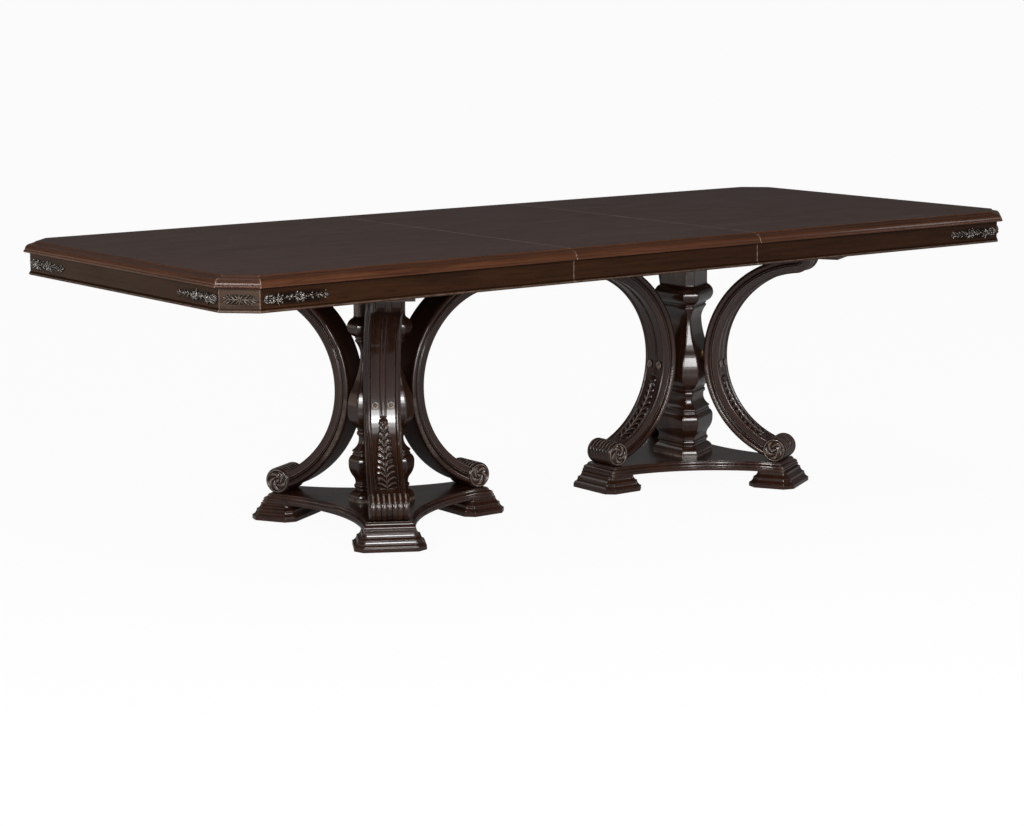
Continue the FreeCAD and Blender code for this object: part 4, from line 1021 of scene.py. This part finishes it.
def star_ring(inset):
    """Outline for each inset: three straight ends, joined by circles through the waist between them.

    In the frame of a hollow side the circle's centre is u0 = (u^2 + v^2 - w^2) / (2 (u - w)), where
    (u, v) is the end's corner and w the waist.
    """
    inset = inset[:, None]
    end, half, waist = PLATFORM_END - 2 * inset, PLATFORM_HALF - inset, PLATFORM_WAIST - inset
    c, s = math.cos(math.radians(60)), math.sin(math.radians(60))
    u, v = end * c + half * s, end * s - half * c
    centre = (u ** 2 + v ** 2 - waist ** 2) / (2 * (u - waist))
    radius = centre - waist
    sweep = np.arcsin(v / radius) * HOLLOW_SHARES
    hollow = np.stack(turned(centre - radius * np.cos(sweep), radius * np.sin(sweep), 60), -1)
    front = np.stack([end - 0.5 * (np.abs(END_SHARES) == 1), half * END_SHARES], -1)
    x, y = np.moveaxis(np.concatenate([front, hollow], 1), -1, 0)
    return np.concatenate([np.stack(turned(x, y, third), -1) for third in THIRDS], 1)


def platform_shell(axis_x, way):
    """Star rings carried up the edge profile; the floor and the top close towards the middle."""
    ring, heights = star_ring(platform_profile[:, 0]), platform_profile[:, 1]
    under, over = ring[:1] * FLOOR_SHARES[::-1, None, None], ring[-1:] * FLOOR_SHARES[:, None, None]
    ring = np.concatenate([under, ring, over])
    heights = np.concatenate([[heights[0]] * 2, heights, [heights[-1]] * 2])
    return grid_shell(raised(ring * way + np.array([axis_x, 0.0]), heights))


for end, way in (("left", 1.0), ("right", -1.0)):
    shells = [platform_shell(ends[end][0], way)]
    carve(f"{end}_base_board", shells, "base", "pedestal_wood", [pedestal_finish], [f"{end}_platform"])

# %% Stepped feet
FOOT_NEAR, FOOT_FAR, FOOT_HALF, FOOT_CLIP = 218, 350, 92, 22
FOOT_SHIFT = 500  # the feet's grain differs as the columns' does
foot_profile = soften(outline((30, 3), [
    [(0, 3)], [(0, 13.6)], [(1.0, 15)], [(4, 15)], [(4, 16.4)], [(8.9, 21.9), (11, 29.2)], [(11, 30.5)],
    [(14.2, 30.5)], [(15, 32)], [(19.9, 37.5), (22, 44.8)], [(22, 46)], [(40, 46)],
], 7), cut=0.5, closed=False)


def around_pedestal(rho, side, height, axis_x, angle):
    """Points given as distance out, sideways and height, swung round a pedestal's axis."""
    x, y = turned(rho, side, angle)
    return np.stack([axis_x + x, y, height], -1)


def swung_back(points, axis_x, angle):
    """Distance out, sideways and height of points that stand round a pedestal's axis."""
    x, y, z = points.T
    return around_pedestal(x - axis_x, y, z, 0, -angle)


def foot_shell(axis_x, angle):
    """Clipped oblong rings carried up the foot's profile; the clip keeps its angle as the ring shrinks."""
    d, heights = foot_profile[:, :1], foot_profile[:, 1:]
    near, far, half = FOOT_NEAR + d, FOOT_FAR - d, FOOT_HALF - d
    clip = np.maximum(FOOT_CLIP - d * (2 - math.sqrt(2)), 1)
    rho = np.concatenate([far, far, far - clip, near + clip, near, near, near + clip, far - clip], 1)
    side = np.concatenate([clip - half, half - clip, half, half, half - clip, clip - half, -half, -half], 1)
    rho, side = np.moveaxis(softened_ring(np.stack([rho, side], -1), 0.9, 2.4), -1, 0)
    return grid_shell(around_pedestal(rho, side, np.repeat(heights, rho.shape[1], 1), axis_x, angle))


arm_angles = {
    "left": {"inner": 0.0, "back": 120.0, "front": 240.0},
    "right": {"inner": 180.0, "back": 60.0, "front": 300.0},
}
legs = [
    (end, which, ends[end][0], angle)
    for end, angles in arm_angles.items() for which, angle in angles.items()
]
for end, which, axis_x, angle in legs:
    shell = foot_shell(axis_x, angle)
    fibres = swung_back(shell[0], axis_x, angle)[:, [1, 0, 2]] + FOOT_SHIFT * len(which)
    name = f"{end}_{which}_stepped_foot"
    carve(name, [shell], "base", "pedestal_wood", [pedestal_finish], [f"{end}_{which}_foot"], fibres)

# %% [markdown]
# ## The carved arms
# Each arm is a flat bow: a section carried round an arc, turned up at the top into a blunt
# nose under the mounting board and rolled at the foot into a reeded scroll. The section has a
# rib and two sunk panels in front, a bead along both front edges, and a fine bead and a
# thick roll along the back. On the hollow front, a leaf drop is carved: it is a height
# over the unrolled face, added to the section's depth, so the stations are close together there.

# %% Section of the arm
ARM_CENTRE = np.array([363.15, 359.11])
ARM_FRONT, ARM_DEPTH = 249.15, 45.0
NOSE_ANGLE, SCROLL_ANGLE = 84.7, -72.7
NOSE_CENTRE = np.array([335.98, 652.0])
BED, RIB_HALF = 3.8, 6.3

front_y = np.linspace(-30.6, 30.6, 89)


def front_depth(y):
    """Depth of the plain front: a crowned rib 13 wide, a groove each side, then the sunk panel."""
    a = np.abs(y)
    rib = 1.0 + 1.6 * (a / RIB_HALF) ** 3
    groove = BED + 1.6 * np.clip(1 - ((a - RIB_HALF - 1.0) / 1.2) ** 2, 0, 1)
    return np.where(a < RIB_HALF, rib, groove)


arm_side = outline((5.4, 31.3), [
    [(4.2, 31.9)], [(0.0, 36.4), (4.6, 41.0)], [(6.0, 41.0)], [(9.0, 41.0)], [(17.0, 41.0)], [(19.4, 41.0)],
    [(20.2, 40.0)], [(21.2, 39.6)], [(21.9, 40.3)], [(24.0, 42.6), (26.1, 40.3)], [(26.8, 39.8)],
    [(27.6, 40.2)], [(36.2, 48.5), (45.0, 40.4)], [(45.0, 36.0)], [(45.0, 14.0)],
], 11)
print("arm section:", len(front_y) + 2 * len(arm_side) + 1, "points round")

# %% [markdown]
# The leaf drop has a tulip bud on top, then two rows of leaflets that lean up and out from a
# centre vein. Leaflets repeat along the drop, so a saw-tooth of the leaning distance gives the
# place inside one leaflet: its crown, its fine veins and its pointed tip all follow from it.

# %% Height of the leaf drop
BUD, BUD_RADIUS = 66.0, 11.5
DROP_TOP, DROP_LENGTH, LEAFLET = 76.0, 188.0, 19.0
DROP_END = DROP_TOP + DROP_LENGTH
DROP_BEAD, BEAD_RADIUS = 279.0, 6.0
ROSETTE_DOWN, ROSETTE_SIDE, ROSETTE_RADIUS = 21.5, 20.3, 10.0


def fade(value, start, width):
    """0 up to start, then 1 from start + width on, straight between them."""
    return np.clip((value - start) / width, 0, 1)


def leaf_drop(s, y):
    """Height over the bed, and shares of bed cleared, painted shade and painted highlight, at s down and y
    across.
    """
    a = np.abs(y)
    v = fade(s, DROP_TOP, DROP_LENGTH)
    inside = (s > DROP_TOP) & (s < DROP_END)
    half = (11.5 + 14.5 * fade(v, 0, 0.7) ** 0.8) * fade(-v, -1.02, 0.06) ** 0.4 + 0.01
    phase = (s + 1.15 * a * (1 - 0.42 * fade(a, 0, half) ** 2)) / LEAFLET
    f = phase - np.floor(phase)
    tip = half * (0.78 + 0.22 * np.sin(np.pi * f) ** 0.7) + 0.01
    out = np.clip(1 - (a / tip) ** 4, 0, 1) ** 0.5
    crown = np.sin(np.pi * f ** 0.8) ** 0.7
    veins = 0.35 * np.cos(6 * np.pi * f)
    furrow = 1 - 0.8 * np.exp(-(a / 2.8) ** 2)
    blade = (0.7 + 4.0 * crown + veins) * out * furrow
    vein = 4.4 * np.exp(-(a / 1.2) ** 2)
    drop = np.where(inside, np.maximum(blade, vein), 0)
    q = np.hypot(s - BUD, y * 0.95) / BUD_RADIUS
    petals = 0.7 + 0.3 * np.abs(np.cos(1.5 * np.arctan2(y, s - BUD - 3)))
    bud = 5.2 * np.sqrt(np.clip(1 - q ** 2, 0, 1)) * petals
    bead = 3.6 * np.sqrt(np.clip(1 - ((s - DROP_BEAD) ** 2 + y ** 2) / BEAD_RADIUS ** 2, 0, 1))
    reach = np.where(v > 0, tip, 12.5) + 3
    cleared = np.maximum(fade(s, BUD - 17, 5) * fade(-a, -reach, 2.5), fade(s, DROP_END - 6, 8))
    # Painted shade between the leaflets, round the bud and across its petals, just beyond the leaflets'
    # tips, and in a ring round each rosette.
    gaps = np.where(inside & (a > 2.2), np.clip(1.75 - 1.9 * crown, 0, 1) * (a < tip), 0)
    ring = np.exp(-((q - 1.1) / 0.11) ** 2) * (s < BUD + 9)
    ring = ring + 0.8 * (q < 1) * np.clip(3.4 - 4 * petals, 0, 1)
    edge = np.where(inside, np.exp(-((a - tip - 0.9) / 0.9) ** 2), 0)
    about = np.hypot(s - ROSETTE_DOWN, a - ROSETTE_SIDE)
    seat = np.exp(-((about - ROSETTE_RADIUS - 1.0) / 1.7) ** 2)
    glaze_and_shade = np.clip(np.maximum.reduce([gaps, ring, edge, seat]), 0, 1)
    # Painted highlight on each leaflet's ridge and along the centre vein.
    ridge = fade(f, 0.48, 0.1) * fade(-f, -0.72, 0.1) * out
    lit_crest = np.where(inside, np.maximum(ridge, np.exp(-(a / 1.1) ** 2)), 0)
    return np.maximum.reduce([drop, bud, bead]), cleared, glaze_and_shade, lit_crest


probe_s, probe_y = np.meshgrid(np.linspace(40, 290, 251), front_y, indexing="ij")
print("leaf drop stands up to", leaf_drop(probe_s, probe_y)[0].max().round(2), "mm over its bed")

# %% Arm swept along its bow
DROP_STATIONS, NOSE_STATIONS = (292, 2), 17
ROPE_TWIST, ROPE_DEPTH = 7.5, 1.5


def with_caps(mark):
    """A mark for each point of a grid, and none for its two cap points."""
    return np.append(mark.ravel(), [0, 0])


def roped_side(s):
    """The arm's side at each station, with the thick roll cut into a rope below the bow's middle."""
    e, y = (np.repeat(arm_side[None, :, axis], len(s), 0) for axis in (0, 1))
    roped = fade(s, 14, 10) * fade(-s, -190, 25)
    on_roll = fade(e, 27.6, 3) * fade(-e, -43.5, 3)
    twist = np.abs(np.sin(np.pi * (s[:, None] + 0.9 * e) / ROPE_TWIST)) - 0.75
    return e, y + ROPE_DEPTH * np.minimum(twist, 0) * on_roll * roped[:, None]


def arm_points():
    """Rings of (out, side, height): along the arc by angle, then swung 85 degrees round the nose."""
    unit = math.radians(1) * (ARM_FRONT + 3)
    low, high = DROP_STATIONS
    s = np.concatenate([
        np.arange(-SCROLL_ANGLE * unit, low, -4.0), np.arange(low, high, -1.3),
        np.arange(high, -NOSE_ANGLE * unit, -7.0), [-NOSE_ANGLE * unit],
    ])
    swing = np.linspace(0, NOSE_ANGLE, NOSE_STATIONS)[1:]
    nose = len(swing)
    t = np.radians(np.append(-s / unit, np.full(nose, NOSE_ANGLE)))[:, None]
    s = np.append(s, np.full(nose, s[-1]))
    grid_s, grid_y = np.meshgrid(s, front_y, indexing="ij")
    height, cleared, glaze_and_shade, lit_crest = leaf_drop(grid_s, grid_y)
    front = front_depth(grid_y) * (1 - cleared) + BED * cleared - height
    side_e, side_y = roped_side(s)
    back = np.full((len(s), 1), ARM_DEPTH)
    e = np.concatenate([front, side_e, back, side_e[:, ::-1]], 1)
    y = np.concatenate([grid_y, side_y, 0 * back, -side_y[:, ::-1]], 1)
    r = ARM_FRONT + e
    rho, z = ARM_CENTRE[0] - r * np.cos(t), ARM_CENTRE[1] + r * np.sin(t)
    lift = np.radians(NOSE_ANGLE - swing)[:, None]
    reach = ARM_DEPTH - e[-nose:] + 0.05
    rho[-nose:] = NOSE_CENTRE[0] + reach * np.cos(lift)
    z[-nose:] = NOSE_CENTRE[1] - reach * np.sin(lift)
    fibres = np.stack([np.repeat(s[:, None], e.shape[1], 1), y, e], -1)
    plain = np.zeros((len(s), e.shape[1] - glaze_and_shade.shape[1]))
    marks = [with_caps(np.concatenate([mark, plain], 1)) for mark in (glaze_and_shade, lit_crest)]
    return np.stack([rho, y, z], -1), fibres, marks


bow, bow_fibres, bow_marks = arm_points()
print("arm bow:", bow.shape[0], "stations of", bow.shape[1], "points")

# %% [markdown]
# The scroll at the foot of the arm is a roll with seven reeds round it. On its two ends is
# a volute: a raised rim, five leaning lobes like a pinwheel, and a round eye. It is one surface
# of turning, from the middle of one end, over the rim, across the reeds and back in.

# %% Reeded scroll with volute ends
SCROLL_CENTRE = np.array([284.0, 105.0])
SCROLL_RADIUS, SCROLL_HALF = 35.0, 48.6
REEDS, REED_STEPS, REED_DEPTH = 7, 12, 2.6
LOBES, LOBE_LEAN = 5, 1.3
SCROLL_SEGMENTS, SCROLL_SHIFT = 96, 400
SCROLL_SEAT = 71.6  # the roll is planed flat where it stands on the platform

end_rings = np.concatenate([
    np.linspace(0.03, 0.17, 5), np.linspace(0.19, 0.8, 22), np.linspace(0.82, 0.98, 8),
])


def volute(q, t):
    """Relief of a scroll's end at radius share q and angle t: lobes leaning by log q, a rim, an eye."""
    lobe = LOBES * (t + LOBE_LEAN * np.log(q)) / math.tau % 1
    lobes = 2.4 * np.sin(np.pi * lobe ** 0.6) ** 0.9 * fade(q, 0.2, 0.1) * fade(-q, -0.81, 0.06) ** 0.6
    rim = 2.3 * np.sqrt(np.clip(1 - ((q - 0.895) / 0.085) ** 2, 0, 1))
    eye = 2.4 * np.sqrt(np.clip(1 - (q / 0.185) ** 2, 0, 1))
    return np.maximum(lobes, np.maximum(rim, eye))


def scroll_points():
    """Rings of (out, side, height) about the scroll's axis: volute relief on the ends, reeds between."""
    t, q = around(SCROLL_SEGMENTS)[None], end_rings[:, None]
    relief = volute(q, t)
    y = np.linspace(-SCROLL_HALF, SCROLL_HALF, REEDS * REED_STEPS + 1)[:, None]
    f = (y + SCROLL_HALF) / (2 * SCROLL_HALF) * REEDS
    reed = np.sqrt(np.clip(1 - (2 * (f - np.floor(np.minimum(f, REEDS - 0.001))) - 1) ** 2, 0, 1))
    r_body = SCROLL_RADIUS - REED_DEPTH + REED_DEPTH * reed + 0 * t
    r_end = q * (SCROLL_RADIUS - 2.4) + 0 * t
    radius = np.concatenate([r_end, r_body, r_end[::-1]])
    side = np.concatenate([-SCROLL_HALF - relief, y + 0 * t, (SCROLL_HALF + relief)[::-1]])
    # Painted shade in the reeds' grooves and between the volute's lobes; painted highlight on the reeds'
    # tops, stronger on their upper side, and on the lobes, rim and eye.
    groove = fade(-reed, -0.62, 0.3) + 0 * t
    lit_crest = fade(reed, 0.9, 0.08) * (0.25 + 0.75 * np.clip(np.sin(t), 0, 1))
    low, high = fade(-relief, -0.9, 0.6), 0.7 * fade(relief, 1.7, 0.4)
    marks = [
        with_caps(np.concatenate([on_end, on_body, on_end[::-1]]))
        for on_end, on_body in ((low, groove), (high, lit_crest))
    ]
    t = np.repeat(t, len(radius), 0)
    rho, z = SCROLL_CENTRE[0] + radius * np.cos(t), SCROLL_CENTRE[1] + radius * np.sin(t)
    fibres = np.stack([SCROLL_RADIUS * t + SCROLL_SHIFT, side, radius], -1)
    return np.stack([rho, side, np.maximum(z, SCROLL_SEAT)], -1), fibres, marks


scroll, scroll_fibres, scroll_marks = scroll_points()
print("scroll:", scroll.shape[0], "rings of", scroll.shape[1], "points")

# %% Six arms
ARM_SHIFT = np.array([700.0, 90.0, 50.0])  # each arm's grain comes from another place in the plank
arm_finishes = (pedestal_finish, dull_back_finish)


def arm_back(axis_x, angle):
    """A picker that gives the thin lacquer to the flat back, the faces furthest from the bow's centre."""
    def pick(centres):
        out = swung_back(centres, axis_x, angle)[:, [0, 2]]
        from_centre = np.linalg.norm(out - ARM_CENTRE, axis=1)
        from_scroll = np.linalg.norm(out - SCROLL_CENTRE, axis=1)
        return (from_centre > ARM_FRONT + ARM_DEPTH - 1.5) & (from_scroll > SCROLL_RADIUS + 1)
    return pick


arm_fibres = np.concatenate([capped(bow_fibres), capped(scroll_fibres)])
dark, bright = (np.concatenate(pair) for pair in zip(bow_marks, scroll_marks))
for number, (end, which, axis_x, angle) in enumerate(legs):
    shells = [
        grid_shell(around_pedestal(*np.moveaxis(points, -1, 0), axis_x, angle)) for points in (bow, scroll)
    ]
    name = f"{end}_{which}_carved_arm"
    carve(name, shells, "base", "pedestal_wood", arm_finishes, [f"{end}_{which}_arm"],
          arm_fibres + ARM_SHIFT * number, arm_back(axis_x, angle), bright, dark)

# %% [markdown]
# On each arm's front, between the bow's middle and the leaf drop, sit two small turned rosettes,
# one on each sunk panel. They are one profile spun round its axis, let into the bed and leaning
# with the bow.

# %% Rosettes on the arms
ROSETTE_HEIGHT, ROSETTE_SEGMENTS = 6.6, 36
rosette_profile = outline((1.0, -0.1), [
    [(1.0, 0.15)], [(0.88, 0.15)], [(0.86, 0.3)], [(0.72, 0.9), (0.58, 0.3)],
    [(0.55, 0.1)], [(0.32, 0.1)], [(0.3, 0.5)], [(0.2, 0.95), (0.02, 1.0)],
], 7)
boss = turned_boss(rosette_profile * np.array([ROSETTE_RADIUS, ROSETTE_HEIGHT]), ROSETTE_SEGMENTS)
t = -ROSETTE_DOWN / (ARM_FRONT + 3)
seat = ARM_CENTRE + (ARM_FRONT + BED) * np.array([-math.cos(t), math.sin(t)])
rho = seat[0] + boss[..., 2] * math.cos(t) + boss[..., 0] * math.sin(t)
z = seat[1] - boss[..., 2] * math.sin(t) + boss[..., 0] * math.cos(t)
shells = [
    grid_shell(around_pedestal(rho, way * ROSETTE_SIDE + boss[..., 1], z, axis_x, angle))
    for end, which, axis_x, angle in legs for way in (-1, 1)
]
# Painted shade on the rosette's low rings, painted highlight on its raised ring and its eye.
share = rosette_profile[:, 1]
low, high = (share < 0.2) & (share > 0), share > 0.8
dark = np.tile(np.append(np.repeat(low, ROSETTE_SEGMENTS), [0, 0]), len(shells))
bright = np.tile(np.append(np.repeat(high, ROSETTE_SEGMENTS), [0, 1]), len(shells))
carve("arm_rosettes", shells, "base", "pedestal_wood", [pedestal_finish], ["arm_buttons"],
      wear_and_highlight=bright, shade=dark)

# %% [markdown]
# ## The pieces that keep their solids
# Panels, slides, boards, blocks and fixings have the right shape already. They only swap the
# frame's plain colour for a finish, chosen by the material slot each solid was packed with.
# The mounting boards show under the aprons, so they are stained as the pedestals are.

# %% Finishes for the solids
by_slot = {
    "top_veneer": veneer_finish, "edge_wood": moulding_finish, "apron_wood": apron_finish,
    "carved_wood": carved_finish, "pedestal_wood": board_finish, "plain_wood": hidden_finish,
    "steel": zinc_finish, "glide_plastic": nylon_finish,
}
stained_boards = ("left_mounting_board", "right_mounting_board")
kept = [name for name, solid in nodes.items() if not solid.hide_render]
for name in kept:
    for holder in nodes[name].material_slots:
        packed = holder.material.name.split(".")[0]
        holder.material = board_finish if name in stained_boards else by_slot[packed]
print(len(kept), "solids kept:", ", ".join(sorted(kept)))

# %% [markdown]
# ## Camera, floor and light
# The camera stands where the photograph was taken: its place and turn were solved from the
# table's own corners. The floor is a wide pale sheet. Floor and surroundings are white to the
# camera and dim to everything else, so the wood isn't lit by its background.

# %% Camera
right = np.array([0.80127728, -0.59827152, -0.0050909])
below = np.array([-0.10607278, -0.13368091, -0.98533141])
ahead = np.array([0.58881516, 0.79006367, -0.1705758])
stand_point = np.array([-4.2733, -5.6090, 1.4631])


def pose(x, y, z, place):
    """The matrix of an object whose own axes point along x, y and z, at a place."""
    turn = np.eye(4)
    turn[:3] = np.stack([x, y, z, place], 1)
    return Matrix(turn.tolist())


camera = stand("camera", bpy.data.cameras.new("camera"))
camera.matrix_world = pose(right, -below, -ahead, stand_point)
camera.data.sensor_fit = "HORIZONTAL"
camera.data.sensor_width = 36.0
camera.data.lens = 91.66
camera.data.clip_end = 900
bpy.context.scene.camera = camera
print("camera: %.1f mm lens at" % camera.data.lens, stand_point)

# %% Floor and surroundings
FLOOR_SIZE = 400.0
FLOOR_SEEN, FLOOR_MIRRORED = 0.95, 0.2  # shares of plain white for the camera and for reflections
WORLD_SEEN, WORLD_MIRRORED, WORLD_LIGHT = 0.963, 0.16, 0.14


def ray_shares(tree, seen, mirrored):
    """One share for rays from the camera, and one for rays off glossy or through clear surfaces."""
    path = add(tree, "LightPath").outputs
    bounced = math_node(tree, "MAXIMUM", path["Is Glossy Ray"], path["Is Transmission Ray"])
    shares = ((path["Is Camera Ray"], seen), (bounced, mirrored))
    return [math_node(tree, "MULTIPLY", ray, share) for ray, share in shares]


corners = [(x * FLOOR_SIZE, y * FLOOR_SIZE, 0) for x, y in ((-1, -1), (1, -1), (1, 1), (-1, 1))]
mesh = bpy.data.meshes.new("floor")
mesh.from_pydata(corners, [], [(0, 1, 2, 3)])
sheet = stand("floor", mesh)
material, tree, shader = new_material("pale floor")
mottle = noise(tree, stretch(tree, add(tree, "TexCoord").outputs["Object"], 3, 3, 3), 3, 0.5)
pale = blend(tree, mottle, (0.50, 0.50, 0.50, 1), (0.53, 0.53, 0.53, 1))
feed(tree, shader, Base_Color=pale, Roughness=0.8, Specular_IOR_Level=0.1)
share = math_node(tree, "ADD", *ray_shares(tree, FLOOR_SEEN, FLOOR_MIRRORED))
white = add(tree, "Emission", Color=(1, 1, 1, 1), Strength=1.0).outputs[0]
lit = add(tree, "MixShader", i0=share, i1=shader.outputs[0], i2=white).outputs[0]
feed(tree, tree.nodes["Material Output"], Surface=lit)
mesh.materials.append(material)
sheet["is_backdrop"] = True

world = bpy.data.worlds.new("studio")
world.use_nodes = True
tree = world.node_tree
seen, mirrored = ray_shares(tree, WORLD_SEEN, WORLD_MIRRORED)
level = math_node(tree, "MAXIMUM", seen, math_node(tree, "MAXIMUM", mirrored, WORLD_LIGHT))
feed(tree, tree.nodes["Background"], Color=(1, 1, 1, 1), Strength=level)
bpy.context.scene.world = world
print("floor and surroundings set")

# %% [markdown]
# Soft boxes stand in front, at both sides and near the ceiling, and lacquered wood shows them
# as long soft highlights. A dim, warm one behind the left end gives the end's edge its glow,
# and a broad sun overhead lights the top evenly. Small boxes just in front of the wide ones
# make the hearts of the highlights brighter than their edges.

# %% Soft boxes
NEAR, MIDDLE = (-0.6, -0.1, 0.5), (0.5, 0.0, 0.4)
SOFT_BOXES = (
    # name, place, target, width, height, power, colour, spread in degrees
    ("near_wide", (-2.6, -4.2, 1.5), NEAR, 1.4, 2.96, 56, (1, 1, 1), 180),
    ("near_low", (-2.6, -4.18, 1.0), NEAR, 0.5, 0.5, 13, (1, 1, 1), 180),
    ("near_middle", (-2.6, -4.17, 1.75), NEAR, 0.46, 1.2, 14, (1, 1, 1), 180),
    ("near_core", (-2.6, -4.15, 1.6), NEAR, 0.34, 0.6, 28, (1, 1, 1), 180),
    ("middle_wide", (-0.75, -3.85, 1.4), MIDDLE, 1.0, 2.5, 34, (1, 1, 1), 180),
    ("middle_strip", (-0.75, -3.8, 1.4), MIDDLE, 0.24, 1.5, 26, (1, 1, 1), 180),
    ("left_strip", (-4.1, -2.1, 1.7), (-1.0, -0.4, 0.6), 0.6, 1.5, 104, (1, 1, 1), 180),
    ("left_back", (-3.3, 3.2, 0.5), (-2.1, -1.0, 0.7), 2.4, 1.2, 2.2, (1.0, 0.76, 0.56), 56),
    ("right_strip", (3.6, -3.0, 1.6), (0.6, 0.0, 0.4), 0.5, 1.5, 32, (1, 1, 1), 180),
    ("front_ceiling", (-1.9, -3.2, 3.6), (-0.4, 0.0, 0.2), 2.0, 0.16, 26, (1, 1, 1), 180),
)
for name, place, target, width, height, power, colour, spread in SOFT_BOXES:
    lamp = bpy.data.lights.new(name, "AREA")
    lamp.shape, lamp.size, lamp.size_y, lamp.energy = "RECTANGLE", width, height, power
    lamp.color, lamp.spread = colour, math.radians(spread)
    back = np.subtract(place, target) / np.linalg.norm(np.subtract(place, target))
    side = np.cross([0, 0, 1.0], back)
    side /= np.linalg.norm(side)
    stand(name, lamp).matrix_world = pose(side, np.cross(back, side), back, place)

overhead = stand("overhead", bpy.data.lights.new("overhead", "SUN"))
overhead.data.energy, overhead.data.angle = 1.3, math.radians(70)
overhead.rotation_euler = (math.radians(-20), math.radians(-12), 0)
bpy.context.scene.view_settings.view_transform = "Standard"
print("lamps:", len(SOFT_BOXES), "soft boxes and a sun")

# %% [markdown]
# ## Finish
# The box of the dressed table is printed beside the box of the solids.

# %% Sizes and finish
final_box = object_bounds()
solid_size, dressed_size = (np.round(np.subtract(high, low), 4) for low, high in (cad_box, final_box))
print("solids:", solid_size, "dressed:", dressed_size)
